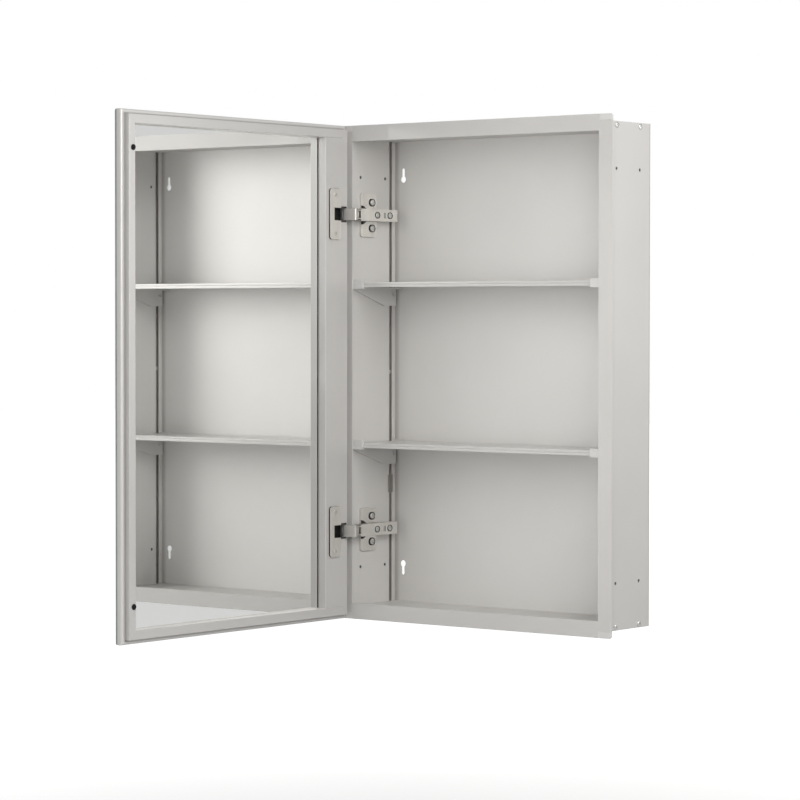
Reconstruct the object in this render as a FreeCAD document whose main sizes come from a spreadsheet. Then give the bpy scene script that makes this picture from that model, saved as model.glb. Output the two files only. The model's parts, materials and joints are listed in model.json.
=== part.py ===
import FreeCAD, Part
import math
import os
from types import SimpleNamespace
import Sketcher

doc = FreeCAD.newDocument("MedicineCabinet")
sheet = doc.addObject("Spreadsheet::Sheet", "Sizes")
nodes = []

# All lengths are in millimetres. X runs to the right, Y to the rear, Z up.
# The origin is the middle of the rear face of the back panel.
given = {
    # Box and the flange round its opening
    "flangeWidth": 406.0,
    "flangeHeight": 610.0,
    "flangeThick": 1.8,
    "flangeStile": 19.2,
    "flangeRail": 19.5,
    "flangeOverhang": 7.7,
    "cabinetDepth": 90.6,
    "panelThick": 8.8,
    "skinThick": 1.3,
    "backThick": 1.5,
    "ribHalf": 4.5,
    "frontStation": 19.8,
    "rearInset": 20.3,
    "mountHoleRadius": 2.1,
    "mountHoleInset": 55.3,
    # Nut slot in the rear inside corner of each side
    "slotInset": 9.1,
    "slotMouth": 6.0,
    "slotCavity": 11.0,
    "slotLip": 1.5,
    "slotDepth": 3.6,
    "notchDrop": 140.4,
    "notchHeight": 22.0,
    "stopHeadRadius": 2.6,
    "stopHeadSink": 0.8,
    "stopShankRadius": 1.4,
    "stopShankLength": 2.0,
    # Corner caps of the flange
    "capCornerRadius": 3.5,
    "capBridge": 2.4,
    "capLegLength": 22.0,
    # Keyholes of the back panel
    "keyholeSideInset": 21.8,
    "keyholeEndInset": 55.8,
    "keyholeRadius": 4.0,
    "keyholeSlotHalf": 2.1,
    "keyholeTravel": 12.0,
    # Fasteners of the box
    "assemblyHeadRadius": 3.5,
    "assemblyHeadHeight": 2.0,
    "assemblyShankRadius": 1.75,
    "assemblyBite": 12.0,
    "backHeadRadius": 2.4,
    "backHeadHeight": 1.2,
    "backShankRadius": 1.2,
    "backShankBite": 2.0,
    "backScrewInset": 27.3,
    # Shelves and their brackets
    "upperShelfTop": 111.8,
    "lowerShelfTop": -86.8,
    "shelfSheet": 1.4,
    "shelfLip": 6.2,
    "shelfFrontLip": 3.0,
    "shelfRearLip": 2.0,
    "shelfRearGap": 5.1,
    "shelfEndGap": 1.3,
    "shelfGrooveHalf": 0.4,
    "shelfGrooveDepth": 0.7,
    "bracketFront": 2.0,
    "bracketRearGap": 2.1,
    "bracketWidth": 16.0,
    "bracketCapDepth": 4.2,
    "bracketCapHeight": 10.6,
    "bracketLedge": 1.8,
    "bracketHookRise": 1.7,
    "gussetThick": 3.0,
    "gussetFoot": 23.0,
    "gussetDrop": 20.8,
    "bracketScrewDrop": 7.2,
    "bracketHeadRadius": 3.8,
    "bracketHeadHeight": 2.2,
    "bracketShankRadius": 2.0,
    "nutHalfHeight": 7.0,
    # Hinge plates and arms on the left side
    "hingeInset": 109.7,
    "plateFront": 17.0,
    "plateRear": 48.0,
    "plateHalfHeight": 27.0,
    "plateThick": 2.6,
    "plateCornerRadius": 4.0,
    "plateScrewSetback": 41.0,
    "plateScrewSpacing": 32.0,
    "plateHeadRadius": 4.6,
    "plateHeadHeight": 1.6,
    "plateShankRadius": 1.8,
    "plateShankBite": 4.5,
    "ridgeFront": 20.0,
    "ridgeRearGap": 4.0,
    "ridgeHalf": 5.9,
    "armReach": 14.0,
    "armSheet": 1.2,
    "armDepth": 9.5,
    "armHalf": 7.5,
    "armFront": 3.6,
    "armRearGap": 13.1,
    "armBlockFront": 6.5,
    "armBlockRear": 14.0,
    "noseInner": 4.4,
    "noseOuter": 5.6,
    "noseEyeRadius": 2.6,
    "noseFlank": 1.2,
    "sideScrewSetback": 36.0,
    "fixScrewInset": 15.0,
    "armHeadRadius": 3.3,
    "armHeadHeight": 1.4,
    "armShankRadius": 2.0,
    "armShankBite": 6.0,
    # Door frame and mirrors, depths measured from the inner face
    "doorSideGap": 1.0,
    "frontGlass": 2.8,
    "innerGlass": 2.0,
    "innerGlassDepth": 12.2,
    "frameShoulder": 5.5,
    "frameNoseDepth": 7.0,
    "frameNoseRadius": 2.7,
    "frameEdgeRadius": 0.8,
    "frameRail": 16.3,
    "frameHingeStile": 47.7,
    "frameWall": 1.4,
    "frameRebate": 6.0,
    "glassCornerRadius": 2.4,
    "keyLegLength": 34.0,
    "bumperInset": 12.3,
    "bumperDrop": 43.7,
    "bumperRadius": 3.5,
    "bumperHeight": 1.7,
    # Door at right angles to the box, and shut
    "openInset": 16.55,
    "openGap": 0.8,
    "shutGap": 2.0,
    # Hinge cups in the hinge stile
    "cupNeckEdge": 7.3,
    "cupNeckHalf": 9.6,
    "cupBodyEdge": 21.1,
    "cupBodyFar": 40.4,
    "cupBodyHalf": 19.8,
    "cupDepth": 10.6,
    "cupPocketFar": 34.0,
    "cupPocketHalf": 7.7,
    "cupPocketDepth": 9.6,
    "cupPlateFar": 41.5,
    "cupPlateHalf": 31.3,
    "cupPlateThick": 1.2,
    "cupLayerThick": 1.6,
    "cupPlateRadius": 4.0,
    "cupScrewHalf": 24.0,
    "cupHeadRadius": 2.9,
    "cupHeadHeight": 0.6,
    "cupShankRadius": 1.6,
    "cupShankBite": 3.2,
    "edgeNotchHalf": 5.0,
    "edgeNotchDepth": 6.2,
    # Levers and pins of the hinges
    "outerCupPinEdge": 12.5,
    "outerCupPinDepth": 2.2,
    "innerCupPinEdge": 9.6,
    "innerCupPinDepth": 4.4,
    "outerPinReach": 20.0,
    "innerArmPinReach": 9.0,
    "innerArmPinSetback": 0.2,
    "cupPinRadius": 0.9,
    "armPinRadius": 1.25,
    "stubInner": 4.6,
    "cupPinHalf": 9.4,
    "leverEyeRadius": 2.4,
    "leverFlare": 3.0,
    "leverWebReach": 3.9,
    "leverWebThick": 1.0,
    "leverTipRadius": 3.4,
    "leverCrownRadius": 2.0,
    "leverInner": 5.9,
    "leverOuter": 7.2,
    "innerLeverHalf": 3.8,
    "innerLeverEyeRadius": 1.9,
    "innerLeverTipRadius": 3.5,
    "innerLeverSlack": 1.4,
    # Fits
    "pinClearance": 0.06,
    "seatClearance": 0.15,
    "slideClearance": 0.2,
    "screwClearance": 0.05,
    "cutOverrun": 2.0,
    # Proportions of a pan head: height of its straight side, radius of its flat top
    "headSideShare": 0.45,
    "headTopShare": 0.72,
}


class Tied:
    # A number together with the expression that ties it to the sheet.
    def __init__(self, text, value):
        self.text = text
        self.value = value

    def __add__(self, other):
        other = tied(other)
        return Tied(f"({self.text} + {other.text})", self.value + other.value)

    def __radd__(self, other):
        return tied(other) + self

    def __sub__(self, other):
        other = tied(other)
        return Tied(f"({self.text} - {other.text})", self.value - other.value)

    def __rsub__(self, other):
        return tied(other) - self

    def __mul__(self, other):
        other = tied(other)
        return Tied(f"({self.text} * {other.text})", self.value * other.value)

    def __rmul__(self, other):
        return tied(other) * self

    def __truediv__(self, other):
        other = tied(other)
        return Tied(f"({self.text} / {other.text})", self.value / other.value)

    def __neg__(self):
        return Tied(f"(0 - {self.text})", -self.value)


def tied(number):
    return number if isinstance(number, Tied) else Tied(repr(float(number)), float(number))


def root(number):
    return Tied(f"sqrt({number.text})", math.sqrt(number.value))


def write_cell(name, content, value):
    row = len(cells) + 1
    cells.append(name)
    sheet.set(f"A{row}", name)
    sheet.set(f"B{row}", content)
    sheet.setAlias(f"B{row}", name)
    return Tied(f"Sizes.{name}", value)


def derive(name, formula):
    return write_cell(name, "=" + formula.text.replace("Sizes.", ""), formula.value)


cells = []
s = SimpleNamespace(**{name: write_cell(name, str(value), value) for name, value in given.items()})

# Places that several pieces share
front = derive("frontFace", -s.cabinetDepth)
flangeRear = derive("flangeRear", front + s.flangeThick)
panelRear = derive("panelRear", -s.backThick)
boxHalf = derive("boxHalf", s.flangeWidth / 2 - s.flangeOverhang)
boxTop = derive("boxTop", s.flangeHeight / 2 - s.flangeOverhang)
wall = derive("wallFace", s.panelThick - boxHalf)
roof = derive("roofFace", boxTop - s.panelThick)
lip = derive("lipBack", wall - s.slotLip)
slotFloor = derive("slotFloor", lip - s.slotDepth)
slotLine = derive("slotLine", panelRear - s.slotInset)
frontLine = derive("frontLine", front + s.frontStation)
rearLine = derive("rearLine", panelRear - s.rearInset)
portLine = derive("portLine", boxTop - s.panelThick / 2)
mountHoleRise = derive("mountHoleRise", boxTop - s.mountHoleInset)
keyholeReach = derive("keyholeReach", boxHalf - s.keyholeSideInset)
keyholeRise = derive("keyholeRise", boxTop - s.keyholeEndInset)
backScrewHigh = derive("backScrewHigh", boxTop - s.backScrewInset)
backScrewLow = derive("backScrewLow", backScrewHigh / 3)
shelfRear = derive("shelfRear", panelRear - s.shelfRearGap)
bracketRear = derive("bracketRear", panelRear - s.bracketRearGap)
gussetKnee = derive("gussetKnee", bracketRear - s.gussetFoot)

# The door covers the flange. Open, it has its inner face, hinge edge, free edge and layers here
doorWidth = derive("doorWidth", s.flangeWidth - 2 * s.doorSideGap)
doorTop = derive("doorTop", s.flangeHeight / 2)
doorFace = derive("doorFace", s.openInset - s.flangeWidth / 2)
doorEdge = derive("doorEdge", front - s.openGap)
doorFree = derive("doorFree", doorEdge - doorWidth)
bumperRise = derive("bumperRise", doorTop - s.bumperDrop)
hingeRise = derive("hingeRise", doorTop - s.hingeInset)
glassSeat = derive("glassSeat", s.innerGlassDepth + s.innerGlass)
doorThick = derive("doorThick", glassSeat + s.frontGlass)
cavityNear = derive("cavityNear", s.frameShoulder + s.frameWall)
cavityFar = derive("cavityFar", s.frameRail - s.frameWall)
cavityFloor = derive("cavityFloor", s.innerGlassDepth - s.frameWall)

# The point about which the door turns between open and shut as a whole
shutEdge = derive("shutEdge", -doorWidth / 2)
shutFace = derive("shutFace", front - s.shutGap)
poleX = derive("poleX", (shutEdge + doorFace + doorEdge - shutFace) / 2)
poleY = derive("poleY", (shutEdge - doorFace + doorEdge + shutFace) / 2)

# Rear end of the hinge arm, and the lines of its two screws
armRear = derive("armRear", panelRear - s.armRearGap)
ridgeRear = derive("ridgeRear", armRear - s.ridgeRearGap)
sideScrewLine = derive("sideScrewLine", front + s.sideScrewSetback)
fixScrewLine = derive("fixScrewLine", armRear - s.fixScrewInset)

# Pins in the cup, and the arm pins that carry the levers
outerCupX = derive("outerCupX", doorFace - s.outerCupPinDepth)
outerCupY = derive("outerCupY", doorEdge - s.outerCupPinEdge)
innerCupX = derive("innerCupX", doorFace - s.innerCupPinDepth)
innerCupY = derive("innerCupY", doorEdge - s.innerCupPinEdge)
poleRunX = derive("poleRunX", outerCupX - poleX)
poleRunY = derive("poleRunY", outerCupY - poleY)
poleRun = derive("poleRun", root(2 * (poleRunX * poleRunX + poleRunY * poleRunY)))
outerArmX = derive("outerArmX", poleX + s.outerPinReach * (poleRunX - poleRunY) / poleRun)
outerArmY = derive("outerArmY", poleY + s.outerPinReach * (poleRunX + poleRunY) / poleRun)
innerArmX = derive("innerArmX", wall + s.innerArmPinReach)
innerArmY = derive("innerArmY", front + s.innerArmPinSetback)
leverRunX = derive("leverRunX", outerArmX - outerCupX)
leverRunY = derive("leverRunY", outerArmY - outerCupY)
leverLength = derive("leverLength", root(leverRunX * leverRunX + leverRunY * leverRunY))
innerRunX = derive("innerRunX", innerArmX - innerCupX)
innerRunY = derive("innerRunY", innerArmY - innerCupY)
innerLength = derive("innerLength", root(innerRunX * innerRunX + innerRunY * innerRunY))

directions = {"x": (1, 0, 0), "y": (0, 1, 0), "z": (0, 0, 1)}
normals = {"XY": "z", "XZ": "y", "YZ": "x"}


def bind(piece, name, number):
    piece.setExpression(name, tied(number).text)


def block(name, x, y, z):
    piece = doc.addObject("Part::Box", name)
    for side, axis, (low, high) in zip(("Length", "Width", "Height"), "xyz", (x, y, z)):
        bind(piece, side, tied(high) - low)
        bind(piece, f"Placement.Base.{axis}", low)
    return piece


def stand(piece, axis, low, high, across):
    # Sets a round piece along an axis, with the two other coordinates in across.
    piece.Placement.Rotation = FreeCAD.Rotation(FreeCAD.Vector(0, 0, 1), FreeCAD.Vector(*directions[axis]))
    bind(piece, "Height", tied(high) - low)
    places = dict(zip([name for name in "xyz" if name != axis], across))
    places[axis] = low
    for name, place in places.items():
        bind(piece, f"Placement.Base.{name}", place)
    return piece


def rod(name, axis, radius, low, high, across):
    piece = doc.addObject("Part::Cylinder", name)
    bind(piece, "Radius", radius)
    return stand(piece, axis, low, high, across)


def taper(name, axis, lowRadius, highRadius, low, high, across):
    piece = doc.addObject("Part::Cone", name)
    bind(piece, "Radius1", lowRadius)
    bind(piece, "Radius2", highRadius)
    return stand(piece, axis, low, high, across)


def fuse(name, pieces):
    piece = doc.addObject("Part::MultiFuse", name)
    piece.Shapes = pieces
    piece.Refine = True
    return piece


def cut(name, base, tools):
    piece = doc.addObject("Part::Cut", name)
    piece.Base = base
    piece.Tool = tools[0] if len(tools) == 1 else fuse(name + "Tools", tools)
    return piece


def common(name, base, tool):
    piece = doc.addObject("Part::Common", name)
    piece.Base = base
    piece.Tool = tool
    return piece


def mirror(name, source, axis):
    piece = doc.addObject("Part::Mirroring", name)
    piece.Source = source
    piece.Normal = FreeCAD.Vector(*directions[axis])
    return piece


def group(name, pieces):
    piece = doc.addObject("Part::Compound", name)
    piece.Links = pieces
    return piece


def keep(label, piece):
    piece.Label = label
    nodes.append(piece)
    return piece


def pin_point(sketch, line, end, spot):
    for kind, place in zip(("DistanceX", "DistanceY"), spot):
        index = sketch.addConstraint(Sketcher.Constraint(kind, -1, 1, line, end, place.value))
        sketch.setExpression(f"Constraints[{index}]", place.text)


def heading(start, end):
    run = end[0].value - start[0].value
    rise = end[1].value - start[1].value
    length = math.hypot(run, rise)
    return round(run / length), round(rise / length)


def vector(spot):
    return FreeCAD.Vector(spot[0].value, spot[1].value, 0)


def round_corner(sketch, enter, leave, turn, radius, lineIn, lineOut):
    before, after = turn
    middle = (enter[0] + radius * after[0], enter[1] + radius * after[1])
    leftTurn = before[0] * after[1] - before[1] * after[0] > 0
    ends = (enter, leave) if leftTurn else (leave, enter)
    angles = [math.atan2(spot[1].value - middle[1].value, spot[0].value - middle[0].value) for spot in ends]
    circle = Part.Circle(vector(middle), FreeCAD.Vector(0, 0, 1), radius.value)
    arc = sketch.addGeometry(Part.ArcOfCircle(circle, angles[0], angles[1]), False)
    arcIn, arcOut = (1, 2) if leftTurn else (2, 1)
    sketch.addConstraint(Sketcher.Constraint("Coincident", arc, arcIn, lineIn, 2))
    sketch.addConstraint(Sketcher.Constraint("Coincident", arc, arcOut, lineOut, 1))
    index = sketch.addConstraint(Sketcher.Constraint("Radius", arc, radius.value))
    sketch.setExpression(f"Constraints[{index}]", radius.text)


def draw(sketch, loop):
    # A closed outline: corners are pairs, or triples with the radius of a rounded right angle.
    corners = [tuple(tied(number) for number in corner) for corner in loop]
    count = len(corners)
    enters = []
    leaves = []
    turns = []
    for i, corner in enumerate(corners):
        before = heading(corners[i - 1], corner)
        after = heading(corner, corners[(i + 1) % count])
        radius = corner[2] if len(corner) > 2 else None
        turns.append((before, after))
        if radius is None:
            enters.append(corner)
            leaves.append(corner)
        else:
            enters.append((corner[0] - radius * before[0], corner[1] - radius * before[1]))
            leaves.append((corner[0] + radius * after[0], corner[1] + radius * after[1]))
    lines = []
    for i in range(count):
        segment = Part.LineSegment(vector(leaves[i]), vector(enters[(i + 1) % count]))
        lines.append(sketch.addGeometry(segment, False))
    for i, corner in enumerate(corners):
        pin_point(sketch, lines[i], 1, leaves[i][:2])
        if len(corner) > 2:
            pin_point(sketch, lines[i - 1], 2, enters[i][:2])
            round_corner(sketch, enters[i], leaves[i], turns[i], corner[2], lines[i - 1], lines[i])
        else:
            sketch.addConstraint(Sketcher.Constraint("Coincident", lines[i - 1], 2, lines[i], 1))


def extrude(name, plane, loops, low, high):
    # Draws outlines on a plane through the origin and pads them from low to high along its normal.
    body = doc.addObject("PartDesign::Body", name)
    support = [item for item in body.Origin.OriginFeatures if item.Role == plane + "_Plane"][0]
    sketch = body.newObject("Sketcher::SketchObject", name + "Outline")
    sketch.AttachmentSupport = (support, [""])
    sketch.MapMode = "FlatFace"
    for loop in loops:
        draw(sketch, loop)
    pad = body.newObject("PartDesign::Pad", name + "Pad")
    pad.Profile = sketch
    pad.SideType = "Symmetric"
    bind(pad, "Length", tied(high) - low)
    bind(body, f"Placement.Base.{normals[plane]}", (tied(low) + high) / 2)
    return body


def rectangle(across, along, radius=None):
    (left, right), (low, high) = across, along
    corners = [(left, low), (right, low), (right, high), (left, high)]
    return corners if radius is None else [corner + (radius,) for corner in corners]


def pan_head(name, axis, radius, seat, top, across):
    # A straight side on the seat and a tapered crown above it; top may lie on either side of the seat.
    shoulder = seat + (top - seat) * s.headSideShare
    crownRadius = radius * s.headTopShare
    if top.value > seat.value:
        side = rod(name + "Side", axis, radius, seat, shoulder, across)
        crown = taper(name + "Crown", axis, radius, crownRadius, shoulder, top, across)
    else:
        side = rod(name + "Side", axis, radius, shoulder, seat, across)
        crown = taper(name + "Crown", axis, crownRadius, radius, top, shoulder, across)
    return [side, crown]


def make_side():
    # Hollow extrusion with the flange stile in front and the nut slot in the rear inside corner.
    stileEdge = s.flangeStile - s.flangeWidth / 2
    outer = -s.flangeWidth / 2
    mouthFront = slotLine - s.slotMouth / 2
    mouthRear = slotLine + s.slotMouth / 2
    cavityFront = slotLine - s.slotCavity / 2
    cavityRear = slotLine + s.slotCavity / 2
    outline = [
        (outer, front), (stileEdge, front), (stileEdge, flangeRear), (wall, flangeRear),
        (wall, mouthFront), (lip, mouthFront), (lip, cavityFront), (slotFloor, cavityFront),
        (slotFloor, cavityRear), (lip, cavityRear), (lip, mouthRear), (wall, mouthRear),
        (wall, panelRear), (-boxHalf, panelRear), (-boxHalf, flangeRear), (outer, flangeRear),
    ]
    across = (s.skinThick - boxHalf, wall - s.skinThick)
    frontCell = rectangle(across, (flangeRear + s.skinThick, frontLine - s.ribHalf))
    middleCell = rectangle(across, (frontLine + s.ribHalf, rearLine - s.ribHalf))
    panel = extrude("SideExtrusion", "XY", [outline, frontCell, middleCell], -boxTop, boxTop)
    outside = -boxHalf - s.cutOverrun
    inside = wall + s.cutOverrun
    holes = []
    for line in (frontLine, rearLine):
        for side in (1, -1):
            spot = (line, side * mountHoleRise)
            holes.append(rod("MountHole", "x", s.mountHoleRadius, outside, inside, spot))
            spot = (line, side * portLine)
            radius = s.assemblyShankRadius + s.screwClearance
            holes.append(rod("AssemblyHole", "x", radius, outside, inside, spot))
    for rise in (backScrewLow, backScrewHigh):
        for side in (1, -1):
            spot = (wall - s.panelThick / 2, side * rise)
            radius = s.backShankRadius + s.screwClearance
            depth = panelRear - s.backShankBite - s.screwClearance
            holes.append(rod("BackHole", "y", radius, depth, panelRear + s.cutOverrun, spot))
    radius = s.stopShankRadius + s.screwClearance
    depth = slotFloor - s.stopShankLength - s.screwClearance
    holes.append(rod("StopHole", "x", radius, depth, lip, (slotLine, 0)))
    return cut("SideDrilled", panel, holes)


def make_left_side(side):
    # The left side also carries the slot entry notch and the holes of the hinge plate screws.
    notchTop = s.notchHeight / 2 - s.notchDrop
    cavity = (slotLine - s.slotCavity / 2, slotLine + s.slotCavity / 2)
    tools = [block("SlotNotch", (lip, wall + s.cutOverrun), cavity, (notchTop - s.notchHeight, notchTop))]
    radius = s.plateShankRadius + s.screwClearance
    for rise in (hingeRise, -hingeRise):
        for half in (s.plateScrewSpacing / 2, -s.plateScrewSpacing / 2):
            spot = (front + s.plateScrewSetback, rise + half)
            tools.append(rod("PlateHole", "x", radius, wall - s.plateShankBite, wall + s.cutOverrun, spot))
    return cut("LeftSide", side, tools)


def make_top():
    # The same hollow wall laid flat between the sides, with the header flange and screw ports.
    across = (roof + s.skinThick, boxTop - s.skinThick)
    cells = [
        rectangle((flangeRear + s.skinThick, frontLine - s.ribHalf), across),
        rectangle((frontLine + s.ribHalf, rearLine - s.ribHalf), across),
        rectangle((rearLine + s.ribHalf, panelRear - s.skinThick), across),
    ]
    outline = rectangle((flangeRear, panelRear), (roof, boxTop))
    deck = extrude("TopExtrusion", "YZ", [outline] + cells, wall, -wall)
    half = s.flangeWidth / 2 - s.flangeStile
    rise = (s.flangeHeight / 2 - s.flangeRail, s.flangeHeight / 2)
    header = block("HeaderFlange", (-half, half), (front, flangeRear), rise)
    radius = s.assemblyShankRadius + s.screwClearance
    depth = s.assemblyBite + s.cutOverrun
    ports = []
    for line in (frontLine, rearLine):
        ports.append(rod("LeftPort", "x", radius, wall - s.cutOverrun, wall + depth, (line, portLine)))
        ports.append(rod("RightPort", "x", radius, -wall - depth, s.cutOverrun - wall, (line, portLine)))
    return cut("TopPanel", fuse("TopJoined", [deck, header]), ports)


def make_corner_cap():
    # Plate that ends the flange stile, with a leg that plugs into the front cell of the side.
    outer = -s.flangeWidth / 2
    inner = s.flangeStile - s.flangeWidth / 2
    high = s.flangeHeight / 2
    outline = [(outer, boxTop), (inner, boxTop), (inner, high), (outer, high, s.capCornerRadius)]
    plate = extrude("CapPlate", "XZ", [outline], front, flangeRear)
    margin = s.skinThick + s.seatClearance
    x = (margin - boxHalf, wall - margin)
    rear = frontLine - s.ribHalf - s.seatClearance
    bridge = block("CapBridge", x, (flangeRear, rear), (boxTop, boxTop + s.capBridge))
    leg = block("CapLeg", x, (flangeRear + margin, rear), (boxTop - s.capLegLength, boxTop))
    return fuse("CornerCap", [plate, bridge, leg])


def make_back():
    sheetPanel = block("BackSheet", (-boxHalf, boxHalf), (panelRear, 0), (-boxTop, boxTop))
    through = (panelRear - s.cutOverrun, s.cutOverrun)
    tools = []
    for side in (1, -1):
        for end in (1, -1):
            x = side * keyholeReach
            low = end * keyholeRise
            high = end * (keyholeRise + s.keyholeTravel)
            rise = (low, high) if end > 0 else (high, low)
            half = s.keyholeSlotHalf
            tools.append(rod("KeyRound", "y", s.keyholeRadius, through[0], through[1], (x, low)))
            tools.append(rod("KeyEnd", "y", half, through[0], through[1], (x, high)))
            tools.append(block("KeySlot", (x - half, x + half), through, rise))
            for height in (backScrewLow, backScrewHigh):
                spot = (side * (s.panelThick / 2 - wall), end * height)
                small = s.backShankRadius + s.screwClearance
                large = s.backHeadRadius + s.screwClearance
                tools.append(rod("BackScrewHole", "y", small, through[0], through[1], spot))
                tools.append(taper("BackScrewSink", "y", small, large, -s.backHeadHeight, 0, spot))
    return cut("BackPanel", sheetPanel, tools)


def make_back_screws():
    screws = []
    for side in (1, -1):
        for end in (1, -1):
            for height in (backScrewLow, backScrewHigh):
                spot = (side * (s.panelThick / 2 - wall), end * height)
                tip = panelRear - s.backShankBite
                radius = s.backShankRadius
                shank = rod("BackShank", "y", radius, tip, -s.backHeadHeight, spot)
                head = taper("BackHead", "y", radius, s.backHeadRadius, -s.backHeadHeight, 0, spot)
                screws.append(fuse("BackScrew", [shank, head]))
    return screws


def make_assembly_screws():
    screws = []
    for line in (frontLine, rearLine):
        for end in (1, -1):
            spot = (line, end * portLine)
            top = -boxHalf - s.assemblyHeadHeight
            head = pan_head("AssemblyHead", "x", s.assemblyHeadRadius, -boxHalf, top, spot)
            shank = rod("AssemblyShank", "x", s.assemblyShankRadius, -boxHalf, wall + s.assemblyBite, spot)
            left = fuse("AssemblyScrew", head + [shank])
            screws += [left, mirror("AssemblyScrewRight", left, "x")]
    return screws


def make_stop_screws():
    # A screw in each nut slot at mid height keeps the nuts of the two shelves apart.
    spot = (slotLine, 0)
    head = rod("StopHead", "x", s.stopHeadRadius, slotFloor, wall - s.stopHeadSink, spot)
    shank = rod("StopShank", "x", s.stopShankRadius, slotFloor - s.stopShankLength, slotFloor, spot)
    left = fuse("StopScrew", [head, shank])
    return [left, mirror("StopScrewRight", left, "x")]


def make_shelf(top):
    # Aluminium shelf with a grooved front lip and a plain rear lip.
    near = front + s.bracketFront + s.bracketCapDepth
    far = shelfRear
    low = top - s.shelfLip
    under = top - s.shelfSheet
    grooveBack = near + s.shelfGrooveDepth
    grooveHigh = top - s.shelfLip / 2 + s.shelfGrooveHalf
    grooveLow = top - s.shelfLip / 2 - s.shelfGrooveHalf
    outline = [
        (near, low), (near + s.shelfFrontLip, low), (near + s.shelfFrontLip, under),
        (far - s.shelfRearLip, under), (far - s.shelfRearLip, low), (far, low), (far, top),
        (near, top), (near, grooveHigh), (grooveBack, grooveHigh),
        (grooveBack, grooveLow), (near, grooveLow),
    ]
    half = -wall - s.shelfEndGap
    return extrude("Shelf", "YZ", [outline], -half, half)


def make_bracket(top):
    # Ledge under the shelf end, front cap, rear hook and a gusset against the side wall.
    ledgeTop = top - s.shelfLip
    ledgeLow = ledgeTop - s.bracketLedge
    near = front + s.bracketFront
    far = bracketRear
    x = (wall + s.slideClearance, wall + s.bracketWidth)
    ledge = block("BracketLedge", x, (near, far), (ledgeLow, ledgeTop))
    capTop = ledgeLow + s.bracketCapHeight
    cap = block("BracketCap", x, (near, near + s.bracketCapDepth), (ledgeLow, capTop))
    hook = block("BracketHook", x, (shelfRear, far), (ledgeLow, top + s.bracketHookRise))
    gussetLow = ledgeLow - s.gussetDrop
    outline = [(near, ledgeLow), (gussetKnee, gussetLow), (far, gussetLow), (far, ledgeLow)]
    gusset = extrude("BracketGusset", "YZ", [outline], x[0], x[0] + s.gussetThick)
    spot = (slotLine, ledgeLow - s.bracketScrewDrop)
    radius = s.bracketShankRadius + s.screwClearance
    hole = rod("BracketHole", "x", radius, wall - s.cutOverrun, x[0] + s.gussetThick + s.cutOverrun, spot)
    return cut("Bracket", fuse("BracketJoined", [ledge, cap, hook, gusset]), [hole])


def make_bracket_screw(top):
    spot = (slotLine, top - s.shelfLip - s.bracketLedge - s.bracketScrewDrop)
    seat = wall + s.slideClearance + s.gussetThick
    head = pan_head("BracketHead", "x", s.bracketHeadRadius, seat, seat + s.bracketHeadHeight, spot)
    shank = rod("BracketShank", "x", s.bracketShankRadius, slotFloor + s.slideClearance, seat, spot)
    return fuse("BracketScrew", head + [shank])


def make_slot_nut(top):
    height = top - s.shelfLip - s.bracketLedge - s.bracketScrewDrop
    x = (slotFloor + s.slideClearance, lip - s.slideClearance)
    half = s.slotCavity / 2 - s.slideClearance
    y = (slotLine - half, slotLine + half)
    plate = block("NutPlate", x, y, (height - s.nutHalfHeight, height + s.nutHalfHeight))
    radius = s.bracketShankRadius + s.screwClearance
    hole = rod("NutHole", "x", radius, x[0] - s.cutOverrun, x[1] + s.cutOverrun, (slotLine, height))
    return cut("SlotNut", plate, [hole])


def make_hinge_plate():
    # Two screw wings on the wall and a ridge on which the arm sits.
    rise = (hingeRise - s.plateHalfHeight, hingeRise + s.plateHalfHeight)
    outline = rectangle((front + s.plateFront, front + s.plateRear), rise, s.plateCornerRadius)
    wings = extrude("PlateWings", "YZ", [outline], wall, wall + s.plateThick)
    web = wall + s.armReach - s.armSheet
    sides = (hingeRise - s.ridgeHalf, hingeRise + s.ridgeHalf)
    ridge = block("PlateRidge", (wall, web), (front + s.ridgeFront, ridgeRear), sides)
    tools = []
    radius = s.plateShankRadius + s.screwClearance
    for half in (s.plateScrewSpacing / 2, -s.plateScrewSpacing / 2):
        spot = (front + s.plateScrewSetback, hingeRise + half)
        over = wall + s.plateThick + s.cutOverrun
        tools.append(rod("WingHole", "x", radius, wall - s.cutOverrun, over, spot))
    radius = s.armShankRadius + s.screwClearance
    for line in (sideScrewLine, fixScrewLine):
        spot = (line, hingeRise)
        tools.append(rod("RidgeHole", "x", radius, web - s.armShankBite, web + s.cutOverrun, spot))
    return cut("HingePlate", fuse("HingePlateJoined", [wings, ridge]), tools)


def make_plate_screws():
    screws = []
    seat = wall + s.plateThick
    for half in (s.plateScrewSpacing / 2, -s.plateScrewSpacing / 2):
        spot = (front + s.plateScrewSetback, hingeRise + half)
        head = pan_head("PlateHead", "x", s.plateHeadRadius, seat, seat + s.plateHeadHeight, spot)
        tip = wall - s.plateShankBite + s.screwClearance
        shank = rod("PlateShank", "x", s.plateShankRadius, tip, seat, spot)
        screws.append(fuse("PlateScrew", head + [shank]))
    return screws


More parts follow.
